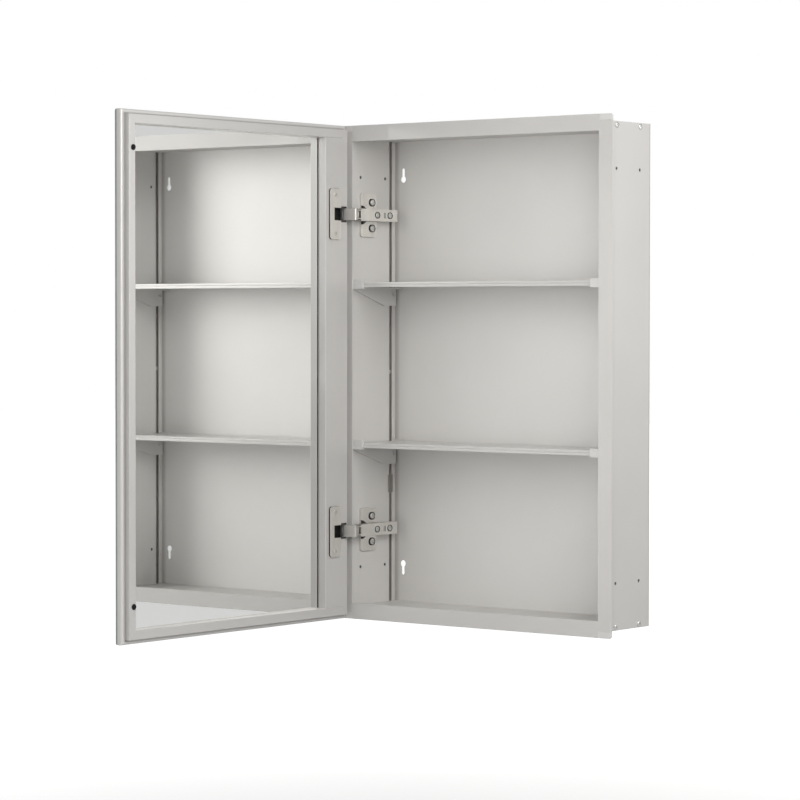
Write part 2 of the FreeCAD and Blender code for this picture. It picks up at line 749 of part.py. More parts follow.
def make_hinge_arm():
    # Channel over the ridge, a solid root at its front and two nose cheeks that hold the arm pins.
    outer = wall + s.armReach
    web = outer - s.armSheet
    low = outer - s.armDepth
    along = (front + s.armFront, armRear)
    shell = block("ArmShell", (low, outer), along, (hingeRise - s.armHalf, hingeRise + s.armHalf))
    inside = (hingeRise - s.armHalf + s.armSheet, hingeRise + s.armHalf - s.armSheet)
    long = (along[0] - s.cutOverrun, along[1] + s.cutOverrun)
    channel = cut("ArmChannel", shell, [block("ArmHollow", (low - s.cutOverrun, web), long, inside)])
    rootLine = (front + s.armBlockFront, front + s.armBlockRear)
    solidRoot = block("ArmRoot", (low, outer), rootLine, inside)
    eyeX = s.noseEyeRadius * leverRunX / leverLength
    eyeY = s.noseEyeRadius * leverRunY / leverLength
    outline = [
        (outerArmX - eyeX, outerArmY - eyeY), (outerArmX + eyeX, outerArmY + eyeY),
        (outer, along[0]), (outer, rootLine[1]), (low, rootLine[1]), (low, front + s.noseFlank),
    ]
    cheeks = []
    for side in (1, -1):
        ends = (hingeRise + side * s.noseInner, hingeRise + side * s.noseOuter)
        z = ends if side > 0 else (ends[1], ends[0])
        cheeks.append(extrude("NoseCheek", "XY", [outline], z[0], z[1]))
        cheeks.append(rod("NoseEye", "z", s.noseEyeRadius, z[0], z[1], (outerArmX, outerArmY)))
    through = (hingeRise - s.armHalf - s.cutOverrun, hingeRise + s.armHalf + s.cutOverrun)
    outerRadius = s.armPinRadius + s.screwClearance
    innerRadius = s.cupPinRadius + s.screwClearance
    tools = [
        rod("NoseHole", "z", outerRadius, through[0], through[1], (outerArmX, outerArmY)),
        rod("NoseHoleInner", "z", innerRadius, through[0], through[1], (innerArmX, innerArmY)),
    ]
    for line in (sideScrewLine, fixScrewLine):
        spot = (line, hingeRise)
        radius = s.armShankRadius + s.screwClearance
        tools.append(rod("ArmScrewHole", "x", radius, web - s.cutOverrun, outer + s.cutOverrun, spot))
    return cut("HingeArm", fuse("HingeArmJoined", [channel, solidRoot] + cheeks), tools)


def make_arm_screw(line):
    seat = wall + s.armReach
    spot = (line, hingeRise)
    head = pan_head("ArmHead", "x", s.armHeadRadius, seat, seat + s.armHeadHeight, spot)
    tip = seat - s.armSheet - s.armShankBite + s.screwClearance
    shank = rod("ArmShank", "x", s.armShankRadius, tip, seat, spot)
    return fuse("ArmScrew", head + [shank])


def set_lever(piece, x, y, runX, runY):
    # Turns a lever drawn along X so that it runs from its cup pin to its arm pin.
    piece.Placement.Rotation = FreeCAD.Rotation(FreeCAD.Vector(0, 0, 1), 1)
    bind(piece, "Placement.Base.x", x)
    bind(piece, "Placement.Base.y", y)
    bind(piece, "Placement.Base.z", hingeRise)
    piece.setExpression("Placement.Rotation.Angle", f"atan2({runY.text}; {runX.text})")
    return piece


def make_outer_lever():
    # Two cheeks and a web that wraps the tip at the arm pin; the cup pin is at the local origin.
    tip = leverLength + s.leverWebReach
    eye = s.leverEyeRadius
    web = s.leverWebThick - s.leverWebReach
    outline = [
        (0, -eye), (s.leverFlare, -s.leverWebReach), (tip, -s.leverWebReach, s.leverTipRadius),
        (tip, eye, s.leverCrownRadius), (0, eye),
    ]
    outer = (-s.leverOuter, s.leverOuter)
    slab = extrude("LeverSlab", "XY", [outline], outer[0], outer[1])
    cupEye = rod("LeverCupEye", "z", eye, outer[0], outer[1], (0, 0))
    inner = (-s.leverInner, s.leverInner)
    high = eye + s.cutOverrun
    hollow = block("LeverHollow", (-eye - s.cutOverrun, tip - s.leverWebThick), (web, high), inner)
    mouth = block("LeverMouth", (leverLength, tip + s.cutOverrun), (0, high), inner)
    through = (outer[0] - s.cutOverrun, outer[1] + s.cutOverrun)
    cupRadius = s.cupPinRadius + s.pinClearance
    armRadius = s.armPinRadius + s.pinClearance
    cupHole = rod("LeverCupHole", "z", cupRadius, through[0], through[1], (0, 0))
    armHole = rod("LeverArmHole", "z", armRadius, through[0], through[1], (leverLength, 0))
    lever = cut("OuterLever", fuse("LeverJoined", [slab, cupEye]), [hollow, mouth, cupHole, armHole])
    return set_lever(lever, outerCupX, outerCupY, leverRunX, leverRunY)


def make_inner_lever():
    # A bar between the cup pin and a wide eye that leaves the arm pin room to wander.
    z = (-s.innerLeverHalf, s.innerLeverHalf)
    eye = s.innerLeverEyeRadius
    bar = block("InnerBar", (0, innerLength), (-eye, eye), z)
    cupEye = rod("InnerCupEye", "z", eye, z[0], z[1], (0, 0))
    armEye = rod("InnerArmEye", "z", s.innerLeverTipRadius, z[0], z[1], (innerLength, 0))
    through = (z[0] - s.cutOverrun, z[1] + s.cutOverrun)
    cupHole = rod("InnerCupHole", "z", s.cupPinRadius + s.pinClearance, through[0], through[1], (0, 0))
    slack = s.cupPinRadius + s.innerLeverSlack
    armHole = rod("InnerArmHole", "z", slack, through[0], through[1], (innerLength, 0))
    lever = cut("InnerLever", fuse("InnerJoined", [bar, cupEye, armEye]), [cupHole, armHole])
    return set_lever(lever, innerCupX, innerCupY, innerRunX, innerRunY)


def door_block(name, edge, depth, height):
    # A block given by its distances from the hinge edge and from the inner face of the open door.
    x = (doorFace - depth[1], doorFace - depth[0])
    y = (doorEdge - edge[1], doorEdge - edge[0])
    return block(name, x, y, height)


def hinge_band(half):
    return (hingeRise - half, hingeRise + half)


def cup_outline():
    across = (doorEdge - s.cupPlateFar, doorEdge - s.cupBodyEdge)
    return rectangle(across, hinge_band(s.cupPlateHalf), s.cupPlateRadius)


def cup_screw_spots():
    middle = doorEdge - (s.cupBodyEdge + s.cupPlateFar) / 2
    return [(middle, hingeRise + s.cupScrewHalf), (middle, hingeRise - s.cupScrewHalf)]


def make_cup():
    # Black insert: a layer under the plate, a body and a neck with an open pocket for the levers.
    layer = extrude("CupLayer", "YZ", [cup_outline()], doorFace, doorFace + s.cupLayerThick)
    depth = (0, s.cupDepth)
    body = door_block("CupBody", (s.cupBodyEdge, s.cupBodyFar), depth, hinge_band(s.cupBodyHalf))
    neck = door_block("CupNeck", (s.cupNeckEdge, s.cupBodyEdge), depth, hinge_band(s.cupNeckHalf))
    reach = (s.cupNeckEdge - s.cutOverrun, s.cupPocketFar)
    deep = (-s.cupLayerThick - s.cutOverrun, s.cupPocketDepth)
    tools = [door_block("CupPocket", reach, deep, hinge_band(s.cupPocketHalf))]
    z = hinge_band(s.cupNeckHalf + s.cutOverrun)
    for x, y in ((outerCupX, outerCupY), (innerCupX, innerCupY)):
        tools.append(rod("CupPinHole", "z", s.cupPinRadius + s.screwClearance, z[0], z[1], (x, y)))
    over = doorFace + s.cupLayerThick + s.cutOverrun
    for spot in cup_screw_spots():
        radius = s.cupShankRadius + s.screwClearance
        tools.append(rod("LayerHole", "x", radius, doorFace - s.cutOverrun, over, spot))
    return cut("HingeCup", fuse("CupJoined", [layer, body, neck]), tools)


def make_cup_plate():
    low = doorFace + s.cupLayerThick
    high = low + s.cupPlateThick
    plate = extrude("CupPlateSheet", "YZ", [cup_outline()], low, high)
    reach = (s.cupBodyEdge - s.cutOverrun, s.cupPocketFar)
    deep = (-s.cupLayerThick - s.cupPlateThick - s.cutOverrun, 0)
    tools = [door_block("CupPlateSlot", reach, deep, hinge_band(s.cupPocketHalf))]
    for spot in cup_screw_spots():
        radius = s.cupShankRadius + s.screwClearance
        tools.append(rod("CupPlateHole", "x", radius, low - s.cutOverrun, high + s.cutOverrun, spot))
    return cut("CupPlate", plate, tools)


def make_cup_screws():
    seat = doorFace + s.cupLayerThick + s.cupPlateThick
    screws = []
    for spot in cup_screw_spots():
        head = rod("CupHead", "x", s.cupHeadRadius, seat, seat + s.cupHeadHeight, spot)
        shank = rod("CupShank", "x", s.cupShankRadius, doorFace - s.cupShankBite, seat, spot)
        screws.append(fuse("CupScrew", [head, shank]))
    return screws


def frame_outline(place):
    # Section of the frame; place maps a distance from the door's edge and a depth to sketch coordinates.
    edge = s.frameEdgeRadius
    corners = [
        (0, glassSeat), (0, s.frameNoseDepth, s.frameNoseRadius), (s.frameShoulder, s.frameNoseDepth),
        (s.frameShoulder, 0, edge), (s.frameRail, 0, edge), (s.frameRail, s.innerGlassDepth),
        (s.frameRebate, s.innerGlassDepth), (s.frameRebate, glassSeat),
    ]
    cavity = rectangle((cavityNear, cavityFar), (s.frameWall, cavityFloor))
    return [[place(*corner[:2]) + corner[2:] for corner in loop] for loop in (corners, cavity)]


def mitre(name, outline):
    return extrude(name, "YZ", [outline], doorFace - glassSeat - s.cutOverrun, doorFace + s.cutOverrun)


def make_free_stile():
    loops = frame_outline(lambda edge, depth: (doorFace - depth, doorFree + edge))
    bar = extrude("FreeBar", "XY", loops, -doorTop, doorTop)
    inner = doorFree + s.frameRail
    rise = doorTop - s.frameRail
    ends = mitre("FreeMitre", [(doorFree, -doorTop), (inner, -rise), (inner, rise), (doorFree, doorTop)])
    return common("FreeStile", bar, ends)


def make_top_rail():
    loops = frame_outline(lambda edge, depth: (doorFace - depth, doorTop - edge))
    bar = extrude("TopBar", "XZ", loops, doorFree, doorEdge)
    rise = doorTop - s.frameRail
    outline = [
        (doorFree, doorTop), (doorFree + s.frameRail, rise),
        (doorEdge - s.frameRail, rise), (doorEdge, doorTop),
    ]
    return common("TopRail", bar, mitre("TopMitre", outline))


def make_hinge_stile():
    # Wider stile of the same frame, mitred outside and butted inside, with openings for the cups.
    edge = s.frameEdgeRadius
    wide = s.frameHingeStile
    corners = [
        (0, glassSeat), (0, s.frameNoseDepth, s.frameNoseRadius), (s.frameShoulder, s.frameNoseDepth),
        (s.frameShoulder, 0, edge), (wide, 0, edge), (wide, s.innerGlassDepth),
        (s.frameRebate, s.innerGlassDepth), (s.frameRebate, glassSeat),
    ]
    cavity = rectangle((cavityNear, wide - s.frameWall), (s.frameWall, cavityFloor))
    loops = [
        [(doorFace - tied(corner[1]), doorEdge - tied(corner[0])) + corner[2:] for corner in loop]
        for loop in (corners, cavity)
    ]
    bar = extrude("HingeBar", "XY", loops, -doorTop, doorTop)
    rise = doorTop - s.frameRail
    shoulder = doorEdge - s.frameRail
    ends = mitre("HingeMitre", [
        (doorEdge, -doorTop), (doorEdge, doorTop), (shoulder, rise), (doorEdge - wide, rise),
        (doorEdge - wide, -rise), (shoulder, -rise),
    ])
    face = (-s.cutOverrun, s.frameWall + s.seatClearance)
    gap = s.seatClearance
    tools = []
    neckHalf = s.cupNeckHalf + gap
    bodyHalf = s.cupBodyHalf + gap
    for side in (1, -1):
        neckBand = (side * hingeRise - neckHalf, side * hingeRise + neckHalf)
        bodyBand = (side * hingeRise - bodyHalf, side * hingeRise + bodyHalf)
        notchBand = (side * hingeRise - s.edgeNotchHalf, side * hingeRise + s.edgeNotchHalf)
        tools.append(door_block("NeckOpening", (s.cupNeckEdge - gap, s.cupBodyEdge), face, neckBand))
        tools.append(door_block("BodyOpening", (s.cupBodyEdge - gap, s.cupBodyFar + gap), face, bodyBand))
        notchEdge = (s.frameShoulder - s.cutOverrun, s.cupNeckEdge)
        notchDeep = (-s.cutOverrun, s.edgeNotchDepth)
        tools.append(door_block("EdgeNotch", notchEdge, notchDeep, notchBand))
        for y, z in cup_screw_spots():
            radius = s.cupShankRadius + s.screwClearance
            deep = doorFace - s.frameWall - s.cutOverrun
            tools.append(rod("PilotHole", "x", radius, deep, doorFace + s.cutOverrun, (y, side * z)))
    return cut("HingeStile", common("HingeStileBar", bar, ends), tools)


def make_corner_keys():
    # An angle in the hollow of each frame corner joins the mitred bars.
    depth = (s.frameWall + s.seatClearance, cavityFloor - s.seatClearance)
    near = cavityNear + s.seatClearance
    far = cavityFar - s.seatClearance
    along = near + s.keyLegLength
    keys = []
    for start, sign in ((doorEdge, -1), (doorFree, 1)):
        spans = {}
        for name, reach in (("short", far), ("long", along)):
            ends = (start + sign * near, start + sign * reach)
            spans[name] = ends if sign > 0 else (ends[1], ends[0])
        x = (doorFace - depth[1], doorFace - depth[0])
        level = block("KeyLevel", x, spans["long"], (doorTop - far, doorTop - near))
        upright = block("KeyUpright", x, spans["short"], (doorTop - along, doorTop - near))
        key = fuse("CornerKey", [level, upright])
        keys += [key, mirror("CornerKeyLow", key, "z")]
    return keys


def make_mirrors():
    margin = s.frameRebate + s.seatClearance
    width = (margin, doorWidth - margin)
    height = (margin - doorTop, doorTop - margin)
    inner = door_block("InnerMirror", width, (s.innerGlassDepth, glassSeat), height)
    outline = rectangle((doorFree, doorEdge), (-doorTop, doorTop), s.glassCornerRadius)
    outer = extrude("FrontMirror", "YZ", [outline], doorFace - doorThick, doorFace - glassSeat)
    return inner, outer


def make_bumper():
    spot = (doorFree + s.bumperInset, bumperRise)
    parts = pan_head("Bumper", "x", s.bumperRadius, doorFace, doorFace + s.bumperHeight, spot)
    return fuse("DoorBumper", parts)


# Box
side = make_side()
keep("left_side_panel", make_left_side(side))
keep("right_side_panel", mirror("RightSide", side, "x"))
top = keep("top_panel", make_top())
keep("bottom_panel", mirror("BottomPanel", top, "z"))
keep("back_panel", make_back())
cap = keep("top_left_corner_cap", make_corner_cap())
keep("top_right_corner_cap", mirror("CapTopRight", cap, "x"))
lowCap = keep("bottom_left_corner_cap", mirror("CapLowLeft", cap, "z"))
keep("bottom_right_corner_cap", mirror("CapLowRight", lowCap, "x"))
keep("assembly_screws", group("AssemblyScrews", make_assembly_screws()))
keep("back_panel_screws", group("BackScrews", make_back_screws()))
keep("slot_stop_screws", group("StopScrews", make_stop_screws()))

# Shelves with their brackets
for level, shelfTop in (("upper", s.upperShelfTop), ("lower", s.lowerShelfTop)):
    keep(f"{level}_shelf", make_shelf(shelfTop))
    bracket = keep(f"{level}_left_bracket", make_bracket(shelfTop))
    keep(f"{level}_right_bracket", mirror("BracketRight", bracket, "x"))
    screw = make_bracket_screw(shelfTop)
    screws = [screw, mirror("BracketScrewRight", screw, "x")]
    keep(f"{level}_bracket_screws", group("BracketScrews", screws))
    nut = make_slot_nut(shelfTop)
    keep(f"{level}_slot_nuts", group("SlotNuts", [nut, mirror("SlotNutRight", nut, "x")]))


def keep_pair(ending, piece):
    # The same piece on the upper hinge and, mirrored, on the lower one.
    keep(f"upper_{ending}", piece)
    keep(f"lower_{ending}", mirror("Lower" + piece.Name, piece, "z"))


def keep_group(label, pieces):
    # Pieces of the upper hinge together with their mirrored fellows on the lower one.
    keep(label, group("Group", pieces + [mirror("Lower" + piece.Name, piece, "z") for piece in pieces]))


# Hinges
keep_pair("hinge_plate", make_hinge_plate())
keep_pair("hinge_arm", make_hinge_arm())
keep_group("hinge_plate_screws", make_plate_screws())
keep_group("hinge_side_screws", [make_arm_screw(sideScrewLine)])
keep_group("hinge_fixing_screws", [make_arm_screw(fixScrewLine)])
pinBand = hinge_band(s.leverOuter)
noseBand = hinge_band(s.noseOuter)
cupBand = hinge_band(s.cupPinHalf)
stubBand = (hingeRise + s.stubInner, cupBand[1])
stubBandLow = (cupBand[0], hingeRise - s.stubInner)
outerPin = rod("OuterArmPin", "z", s.armPinRadius, pinBand[0], pinBand[1], (outerArmX, outerArmY))
innerPin = rod("InnerArmPin", "z", s.cupPinRadius, noseBand[0], noseBand[1], (innerArmX, innerArmY))
cupPin = rod("InnerCupPin", "z", s.cupPinRadius, cupBand[0], cupBand[1], (innerCupX, innerCupY))
stubs = [
    rod("OuterCupPin", "z", s.cupPinRadius, band[0], band[1], (outerCupX, outerCupY))
    for band in (stubBand, stubBandLow)
]
keep_group("outer_arm_pins", [outerPin])
keep_group("inner_arm_pins", [innerPin])
keep_group("inner_cup_pins", [cupPin])
keep_group("outer_cup_pins", stubs)
keep_pair("outer_lever", make_outer_lever())
keep_pair("inner_lever", make_inner_lever())
keep_pair("hinge_cup", make_cup())
keep_pair("cup_plate", make_cup_plate())
keep_group("cup_screws", make_cup_screws())

# Door
keep("door_hinge_stile", make_hinge_stile())
keep("door_free_stile", make_free_stile())
rail = keep("door_top_rail", make_top_rail())
keep("door_bottom_rail", mirror("BottomRail", rail, "z"))
keep("door_corner_keys", group("CornerKeys", make_corner_keys()))
innerMirror, frontMirror = make_mirrors()
keep("inner_mirror", innerMirror)
keep("front_mirror", frontMirror)
keep_group("door_bumpers", [make_bumper()])

doc.recompute()
for item in doc.Objects:
    if "Invalid" in item.State or "Error" in item.State:
        raise RuntimeError(f"{item.Name} did not recompute")
os.makedirs("parts", exist_ok=True)
for node in nodes:
    if node.Shape.isNull() or not node.Shape.isValid():
        raise RuntimeError(f"{node.Label} has no valid shape")
    node.Shape.exportStep(f"parts/{node.Label}.step")
    print(node.Label, len(node.Shape.Solids), round(node.Shape.Volume, 1))
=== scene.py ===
import json
import math
import bmesh
import bpy
from mathutils import Matrix, Vector


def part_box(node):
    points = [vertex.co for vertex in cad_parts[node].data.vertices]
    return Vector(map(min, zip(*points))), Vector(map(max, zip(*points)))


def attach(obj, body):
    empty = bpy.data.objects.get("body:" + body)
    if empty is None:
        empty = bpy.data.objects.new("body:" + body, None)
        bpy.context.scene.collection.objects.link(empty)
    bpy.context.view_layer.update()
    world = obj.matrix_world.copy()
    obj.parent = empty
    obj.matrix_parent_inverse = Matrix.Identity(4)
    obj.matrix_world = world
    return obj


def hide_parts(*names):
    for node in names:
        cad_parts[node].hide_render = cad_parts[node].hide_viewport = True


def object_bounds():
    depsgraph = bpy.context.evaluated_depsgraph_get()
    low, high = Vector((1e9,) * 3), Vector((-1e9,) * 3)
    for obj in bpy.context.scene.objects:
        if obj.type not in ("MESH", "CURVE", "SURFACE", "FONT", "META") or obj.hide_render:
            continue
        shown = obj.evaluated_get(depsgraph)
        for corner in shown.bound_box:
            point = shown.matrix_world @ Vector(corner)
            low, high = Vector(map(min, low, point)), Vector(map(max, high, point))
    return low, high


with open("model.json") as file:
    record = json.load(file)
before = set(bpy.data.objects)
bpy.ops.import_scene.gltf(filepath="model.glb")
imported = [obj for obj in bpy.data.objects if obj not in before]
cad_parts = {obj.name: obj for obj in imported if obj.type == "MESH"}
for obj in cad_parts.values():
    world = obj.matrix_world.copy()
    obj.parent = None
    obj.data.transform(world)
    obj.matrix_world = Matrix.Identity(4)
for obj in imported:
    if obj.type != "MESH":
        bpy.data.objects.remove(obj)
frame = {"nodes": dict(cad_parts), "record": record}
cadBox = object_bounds()
nodes = frame["nodes"]
bodyOf = {name: body for body, names in frame["record"]["behaviour"]["bodies"].items() for name in names}
slotOf = {part["node"]: part["material_slot"] for part in frame["record"]["subparts"]}
scene = bpy.context.scene
scene.view_settings.view_transform = "Standard"
mm = 0.001
panelThick = 8.8 * mm  # side panel, from its outer to its inner face
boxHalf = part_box("back_panel")[1].x
innerWall = boxHalf - panelThick
faceOn = 0.9  # share of a face's normal along X from which it counts as looking that way
mergeDistance = 1e-6
print("frame loaded:", len(nodes), "nodes")


# Shader helpers

def addNode(tree, kind, **values):
    node = tree.nodes.new(kind)
    for name, value in values.items():
        if name in node.inputs:
            node.inputs[name].default_value = value
        else:
            setattr(node, name, value)
    return node


def give(tree, value, socket):
    # Links another node's output, or sets a fixed value.
    if isinstance(value, bpy.types.NodeSocket):
        tree.links.new(value, socket)
    else:
        socket.default_value = value


def calc(tree, operation, *terms):
    node = addNode(tree, "ShaderNodeMath", operation=operation)
    for socket, term in zip(node.inputs, terms):
        give(tree, term, socket)
    return node.outputs["Value"]


def times(tree, colour, other, fac=1.0):
    # Colour multiplied by another one, as far as the factor says.
    node = addNode(tree, "ShaderNodeMixRGB", blend_type="MULTIPLY")
    for name, value in (("Fac", fac), ("Color1", colour), ("Color2", other)):
        give(tree, value, node.inputs[name])
    return node.outputs["Color"]


def spread(tree, fac, low, high, start=0.0, end=1.0, curve="LINEAR"):
    # Takes start to end of the input over to low to high.
    node = addNode(tree, "ShaderNodeMapRange", interpolation_type=curve)
    for name, value in (("From Min", start), ("From Max", end), ("To Min", low), ("To Max", high)):
        node.inputs[name].default_value = value
    tree.links.new(fac, node.inputs["Value"])
    return node.outputs["Result"]


def startMaterial(name):
    material = bpy.data.materials.new(name)
    material.use_nodes = True
    tree = material.node_tree
    return material, tree, tree.nodes["Principled BSDF"]


def objectSpace(tree, stretch=(1, 1, 1)):
    place = addNode(tree, "ShaderNodeTexCoord")
    mapping = addNode(tree, "ShaderNodeMapping", Scale=stretch)
    tree.links.new(place.outputs["Object"], mapping.inputs["Vector"])
    return mapping.outputs["Vector"]


def noise(tree, vector, scale, detail=3.0, rough=0.5):
    node = addNode(tree, "ShaderNodeTexNoise", Scale=scale, Detail=detail, Roughness=rough)
    tree.links.new(vector, node.inputs["Vector"])
    return node.outputs["Fac"]


mottleRange = (0.3, 0.7)  # the part of the noise over which dark turns to light


def mottled(tree, fac, dark, light):
    node = addNode(tree, "ShaderNodeValToRGB")
    for element, place, colour in zip(node.color_ramp.elements, mottleRange, (dark, light)):
        element.position = place
        element.color = (*colour, 1)
    tree.links.new(fac, node.inputs["Fac"])
    return node.outputs["Color"]


def bump(tree, shader, height, strength, distance):
    node = addNode(tree, "ShaderNodeBump", Strength=strength, Distance=distance)
    tree.links.new(height, node.inputs["Height"])
    tree.links.new(node.outputs["Normal"], shader.inputs["Normal"])


def shade(colour, factor):
    return tuple(min(1.0, channel * factor) for channel in colour)


# Finishes, one for each slot of the record and a few relatives

finishLooks = {
    "satinAluminium": {
        "colour": (0.60, 0.590, 0.575), "metallic": 0.1, "gloss": (0.44, 0.56),
        "cloudScale": 9, "mottle": 0.02, "grainScale": 900, "grainStrength": 0.12, "grainDepth": 0.05,
    },
    "backSheet": {
        "colour": (0.735, 0.727, 0.711), "metallic": 0.35, "gloss": (0.48, 0.58),
        # cornerShade is the colour of the painted shade towards the side walls, over cornerReach mm.
        "cornerReach": 9.0, "cornerShade": (0.60, 0.59, 0.575),
        "cloudScale": 7, "mottle": 0.02, "grainScale": 700, "grainStrength": 0.15, "grainDepth": 0.05,
    },
    "doorAluminium": {
        # groove is the colour of the painted shade in the step behind the door's nose.
        "colour": (0.58, 0.572, 0.56), "metallic": 0.2, "gloss": (0.30, 0.42), "groove": (0.30, 0.295, 0.29),
        "cloudScale": 9, "mottle": 0.02, "grainScale": 900, "grainStrength": 0.1, "grainDepth": 0.05,
    },
    "shelfAluminium": {
        "colour": (0.60, 0.592, 0.578), "metallic": 0.25, "gloss": (0.28, 0.4), "stretch": (0.05, 1, 1),
        "cloudScale": 60, "mottle": 0.025, "grainScale": 1400, "grainStrength": 0.12, "grainDepth": 0.05,
    },
    "whitePlastic": {
        "colour": (0.65, 0.648, 0.64), "gloss": (0.34, 0.46),
        "cloudScale": 30, "mottle": 0.015, "grainScale": 1200, "grainStrength": 0.15, "grainDepth": 0.06,
    },
    "bracketPlastic": {
        "colour": (0.60, 0.595, 0.585), "gloss": (0.38, 0.5),
        "cloudScale": 30, "mottle": 0.02, "grainScale": 1200, "grainStrength": 0.15, "grainDepth": 0.06,
    },
    "blackRubber": {
        "colour": (0.008, 0.008, 0.008), "gloss": (0.55, 0.75), "specular": 0.15,
        "cloudScale": 120, "mottle": 0.25, "grainScale": 2500, "grainStrength": 0.3, "grainDepth": 0.08,
    },
    "blackPlastic": {
        "colour": (0.016, 0.016, 0.017), "gloss": (0.35, 0.5),
        "cloudScale": 120, "mottle": 0.2, "grainScale": 2200, "grainStrength": 0.2, "grainDepth": 0.06,
    },
    "keyPlastic": {
        "colour": (0.30, 0.30, 0.31), "gloss": (0.4, 0.6),
        "cloudScale": 60, "mottle": 0.05, "grainScale": 1500, "grainStrength": 0.2, "grainDepth": 0.08,
    },
    "zincSteel": {
        "colour": (0.66, 0.66, 0.65), "metallic": 1.0, "gloss": (0.3, 0.48),
        "cloudScale": 150, "mottle": 0.08, "grainScale": 2500, "grainStrength": 0.15, "grainDepth": 0.05,
    },
    "nickelSteel": {
        "colour": (0.68, 0.665, 0.635), "metallic": 1.0, "gloss": (0.28, 0.42), "stretch": (1, 1, 0.12),
        "cloudScale": 90, "mottle": 0.06, "grainScale": 2600, "grainStrength": 0.16, "grainDepth": 0.05,
    },
    "leverSteel": {
        "colour": (0.47, 0.455, 0.43), "metallic": 1.0, "gloss": (0.36, 0.5), "stretch": (1, 1, 0.12),
        "cloudScale": 90, "mottle": 0.05, "grainScale": 2600, "grainStrength": 0.14, "grainDepth": 0.05,
    },
    "groundGlass": {
        "colour": (0.30, 0.325, 0.318), "gloss": (0.3, 0.5), "specular": 0.6,
        "cloudScale": 80, "mottle": 0.12, "grainScale": 2600, "grainStrength": 0.2, "grainDepth": 0.05,
    },
    "mirrorPaint": {
        "colour": (0.24, 0.24, 0.245), "gloss": (0.45, 0.6),
        "cloudScale": 14, "mottle": 0.06, "grainScale": 600, "grainStrength": 0.25, "grainDepth": 0.1,
    },
}
# The side panels are the satin finish with painted shade inside their nut slot.
finishLooks["sideAluminium"] = {**finishLooks["satinAluminium"], "groove": (0.58, 0.565, 0.545)}
noiseLook = {"cloudDetail": 4.0, "cloudRough": 0.5, "grainDetail": 2.0, "grainRough": 0.6}
grooveFall = 1.3  # how fast the painted shade in a groove fades at its rim


def readMarks(tree, colour, look):
    # Marks in the mesh paint shade into its grooves and, by their tone, paint light and shade on single
    # faces.
    groove = addNode(tree, "ShaderNodeAttribute", attribute_name="groove")
    tone = addNode(tree, "ShaderNodeAttribute", attribute_name="tone")
    grooveShade = calc(tree, "POWER", groove.outputs["Fac"], grooveFall)
    shadedColour = times(tree, colour, (*look["groove"], 1), grooveShade)
    return times(tree, shadedColour, tone.outputs["Color"])


def shadeCorners(tree, colour, look):
    # Painted shade: the sheet darkens towards the sides, where the side walls shade it.
    split = addNode(tree, "ShaderNodeSeparateXYZ")
    tree.links.new(objectSpace(tree), split.inputs["Vector"])
    off = calc(tree, "ABSOLUTE", split.outputs["X"])
    start = innerWall - look["cornerReach"] * mm
    near = spread(tree, off, 0.0, 1.0, start, innerWall, "SMOOTHSTEP")
    return times(tree, colour, (*look["cornerShade"], 1), near)


def makeFinish(name, look):
    # Mottled colour, uneven gloss and a fine grain, all in object space.
    material, tree, shader = startMaterial(name)
    vector = objectSpace(tree, look.get("stretch", (1, 1, 1)))
    cloud = noise(tree, vector, look["cloudScale"], noiseLook["cloudDetail"], noiseLook["cloudRough"])
    grain = noise(tree, vector, look["grainScale"], noiseLook["grainDetail"], noiseLook["grainRough"])
    dark, light = (shade(look["colour"], 1 + side * look["mottle"]) for side in (-1, 1))
    colour = mottled(tree, cloud, dark, light)
    if "groove" in look:
        colour = readMarks(tree, colour, look)
    if "cornerShade" in look:
        colour = shadeCorners(tree, colour, look)
    tree.links.new(colour, shader.inputs["Base Color"])
    tree.links.new(spread(tree, grain, *look["gloss"]), shader.inputs["Roughness"])
    bump(tree, shader, grain, look["grainStrength"], look["grainDepth"] * mm)
    shader.inputs["Metallic"].default_value = look.get("metallic", 0.0)
    shader.inputs["Specular IOR Level"].default_value = look.get("specular", 0.5)
    return material


silverLook = {
    "tint": (0.915, 0.918, 0.91), "dim": 0.985, "haze": 0.03,
    "cloudScale": 6.0, "cloudDetail": 5.0, "cloudRough": 0.6,
}


def makeSilver():
    # Silvered glass: a clear mirror with the faintest cloud of haze in its gloss.
    look = silverLook
    material, tree, shader = startMaterial("silveredGlass")
    cloud = noise(tree, objectSpace(tree), look["cloudScale"], look["cloudDetail"], look["cloudRough"])
    colour = mottled(tree, cloud, shade(look["tint"], look["dim"]), look["tint"])
    tree.links.new(colour, shader.inputs["Base Color"])
    tree.links.new(spread(tree, cloud, 0.0, look["haze"]), shader.inputs["Roughness"])
    shader.inputs["Metallic"].default_value = 1.0
    return material


finishes = {name: makeFinish(name, look) for name, look in finishLooks.items()}
finishes["silveredGlass"] = makeSilver()
print("finishes made:", len(finishes))

slotFinish = {
    "satin_aluminium": "satinAluminium", "white_plastic": "whitePlastic", "mirror_glass": "silveredGlass",
    "black_rubber": "blackRubber", "black_plastic": "blackPlastic", "zinc_steel": "zincSteel",
    "nickel_steel": "nickelSteel", "key_plastic": "keyPlastic",
}
ownFinish = {
    "left_side_panel": "sideAluminium", "right_side_panel": "sideAluminium",
    "back_panel": "backSheet", "upper_shelf": "shelfAluminium", "lower_shelf": "shelfAluminium",
    "door_free_stile": "doorAluminium", "door_hinge_stile": "doorAluminium",
    "door_top_rail": "doorAluminium", "door_bottom_rail": "doorAluminium",
    "upper_outer_lever": "leverSteel", "lower_outer_lever": "leverSteel",
    "upper_left_bracket": "bracketPlastic", "upper_right_bracket": "bracketPlastic",
    "lower_left_bracket": "bracketPlastic", "lower_right_bracket": "bracketPlastic",
}


def finishOf(name):
    return finishes[ownFinish.get(name, slotFinish[slotOf[name]])]


for name, node in nodes.items():
    node.data.materials.clear()
    node.data.materials.append(finishOf(name))
print("finishes given to the frame")


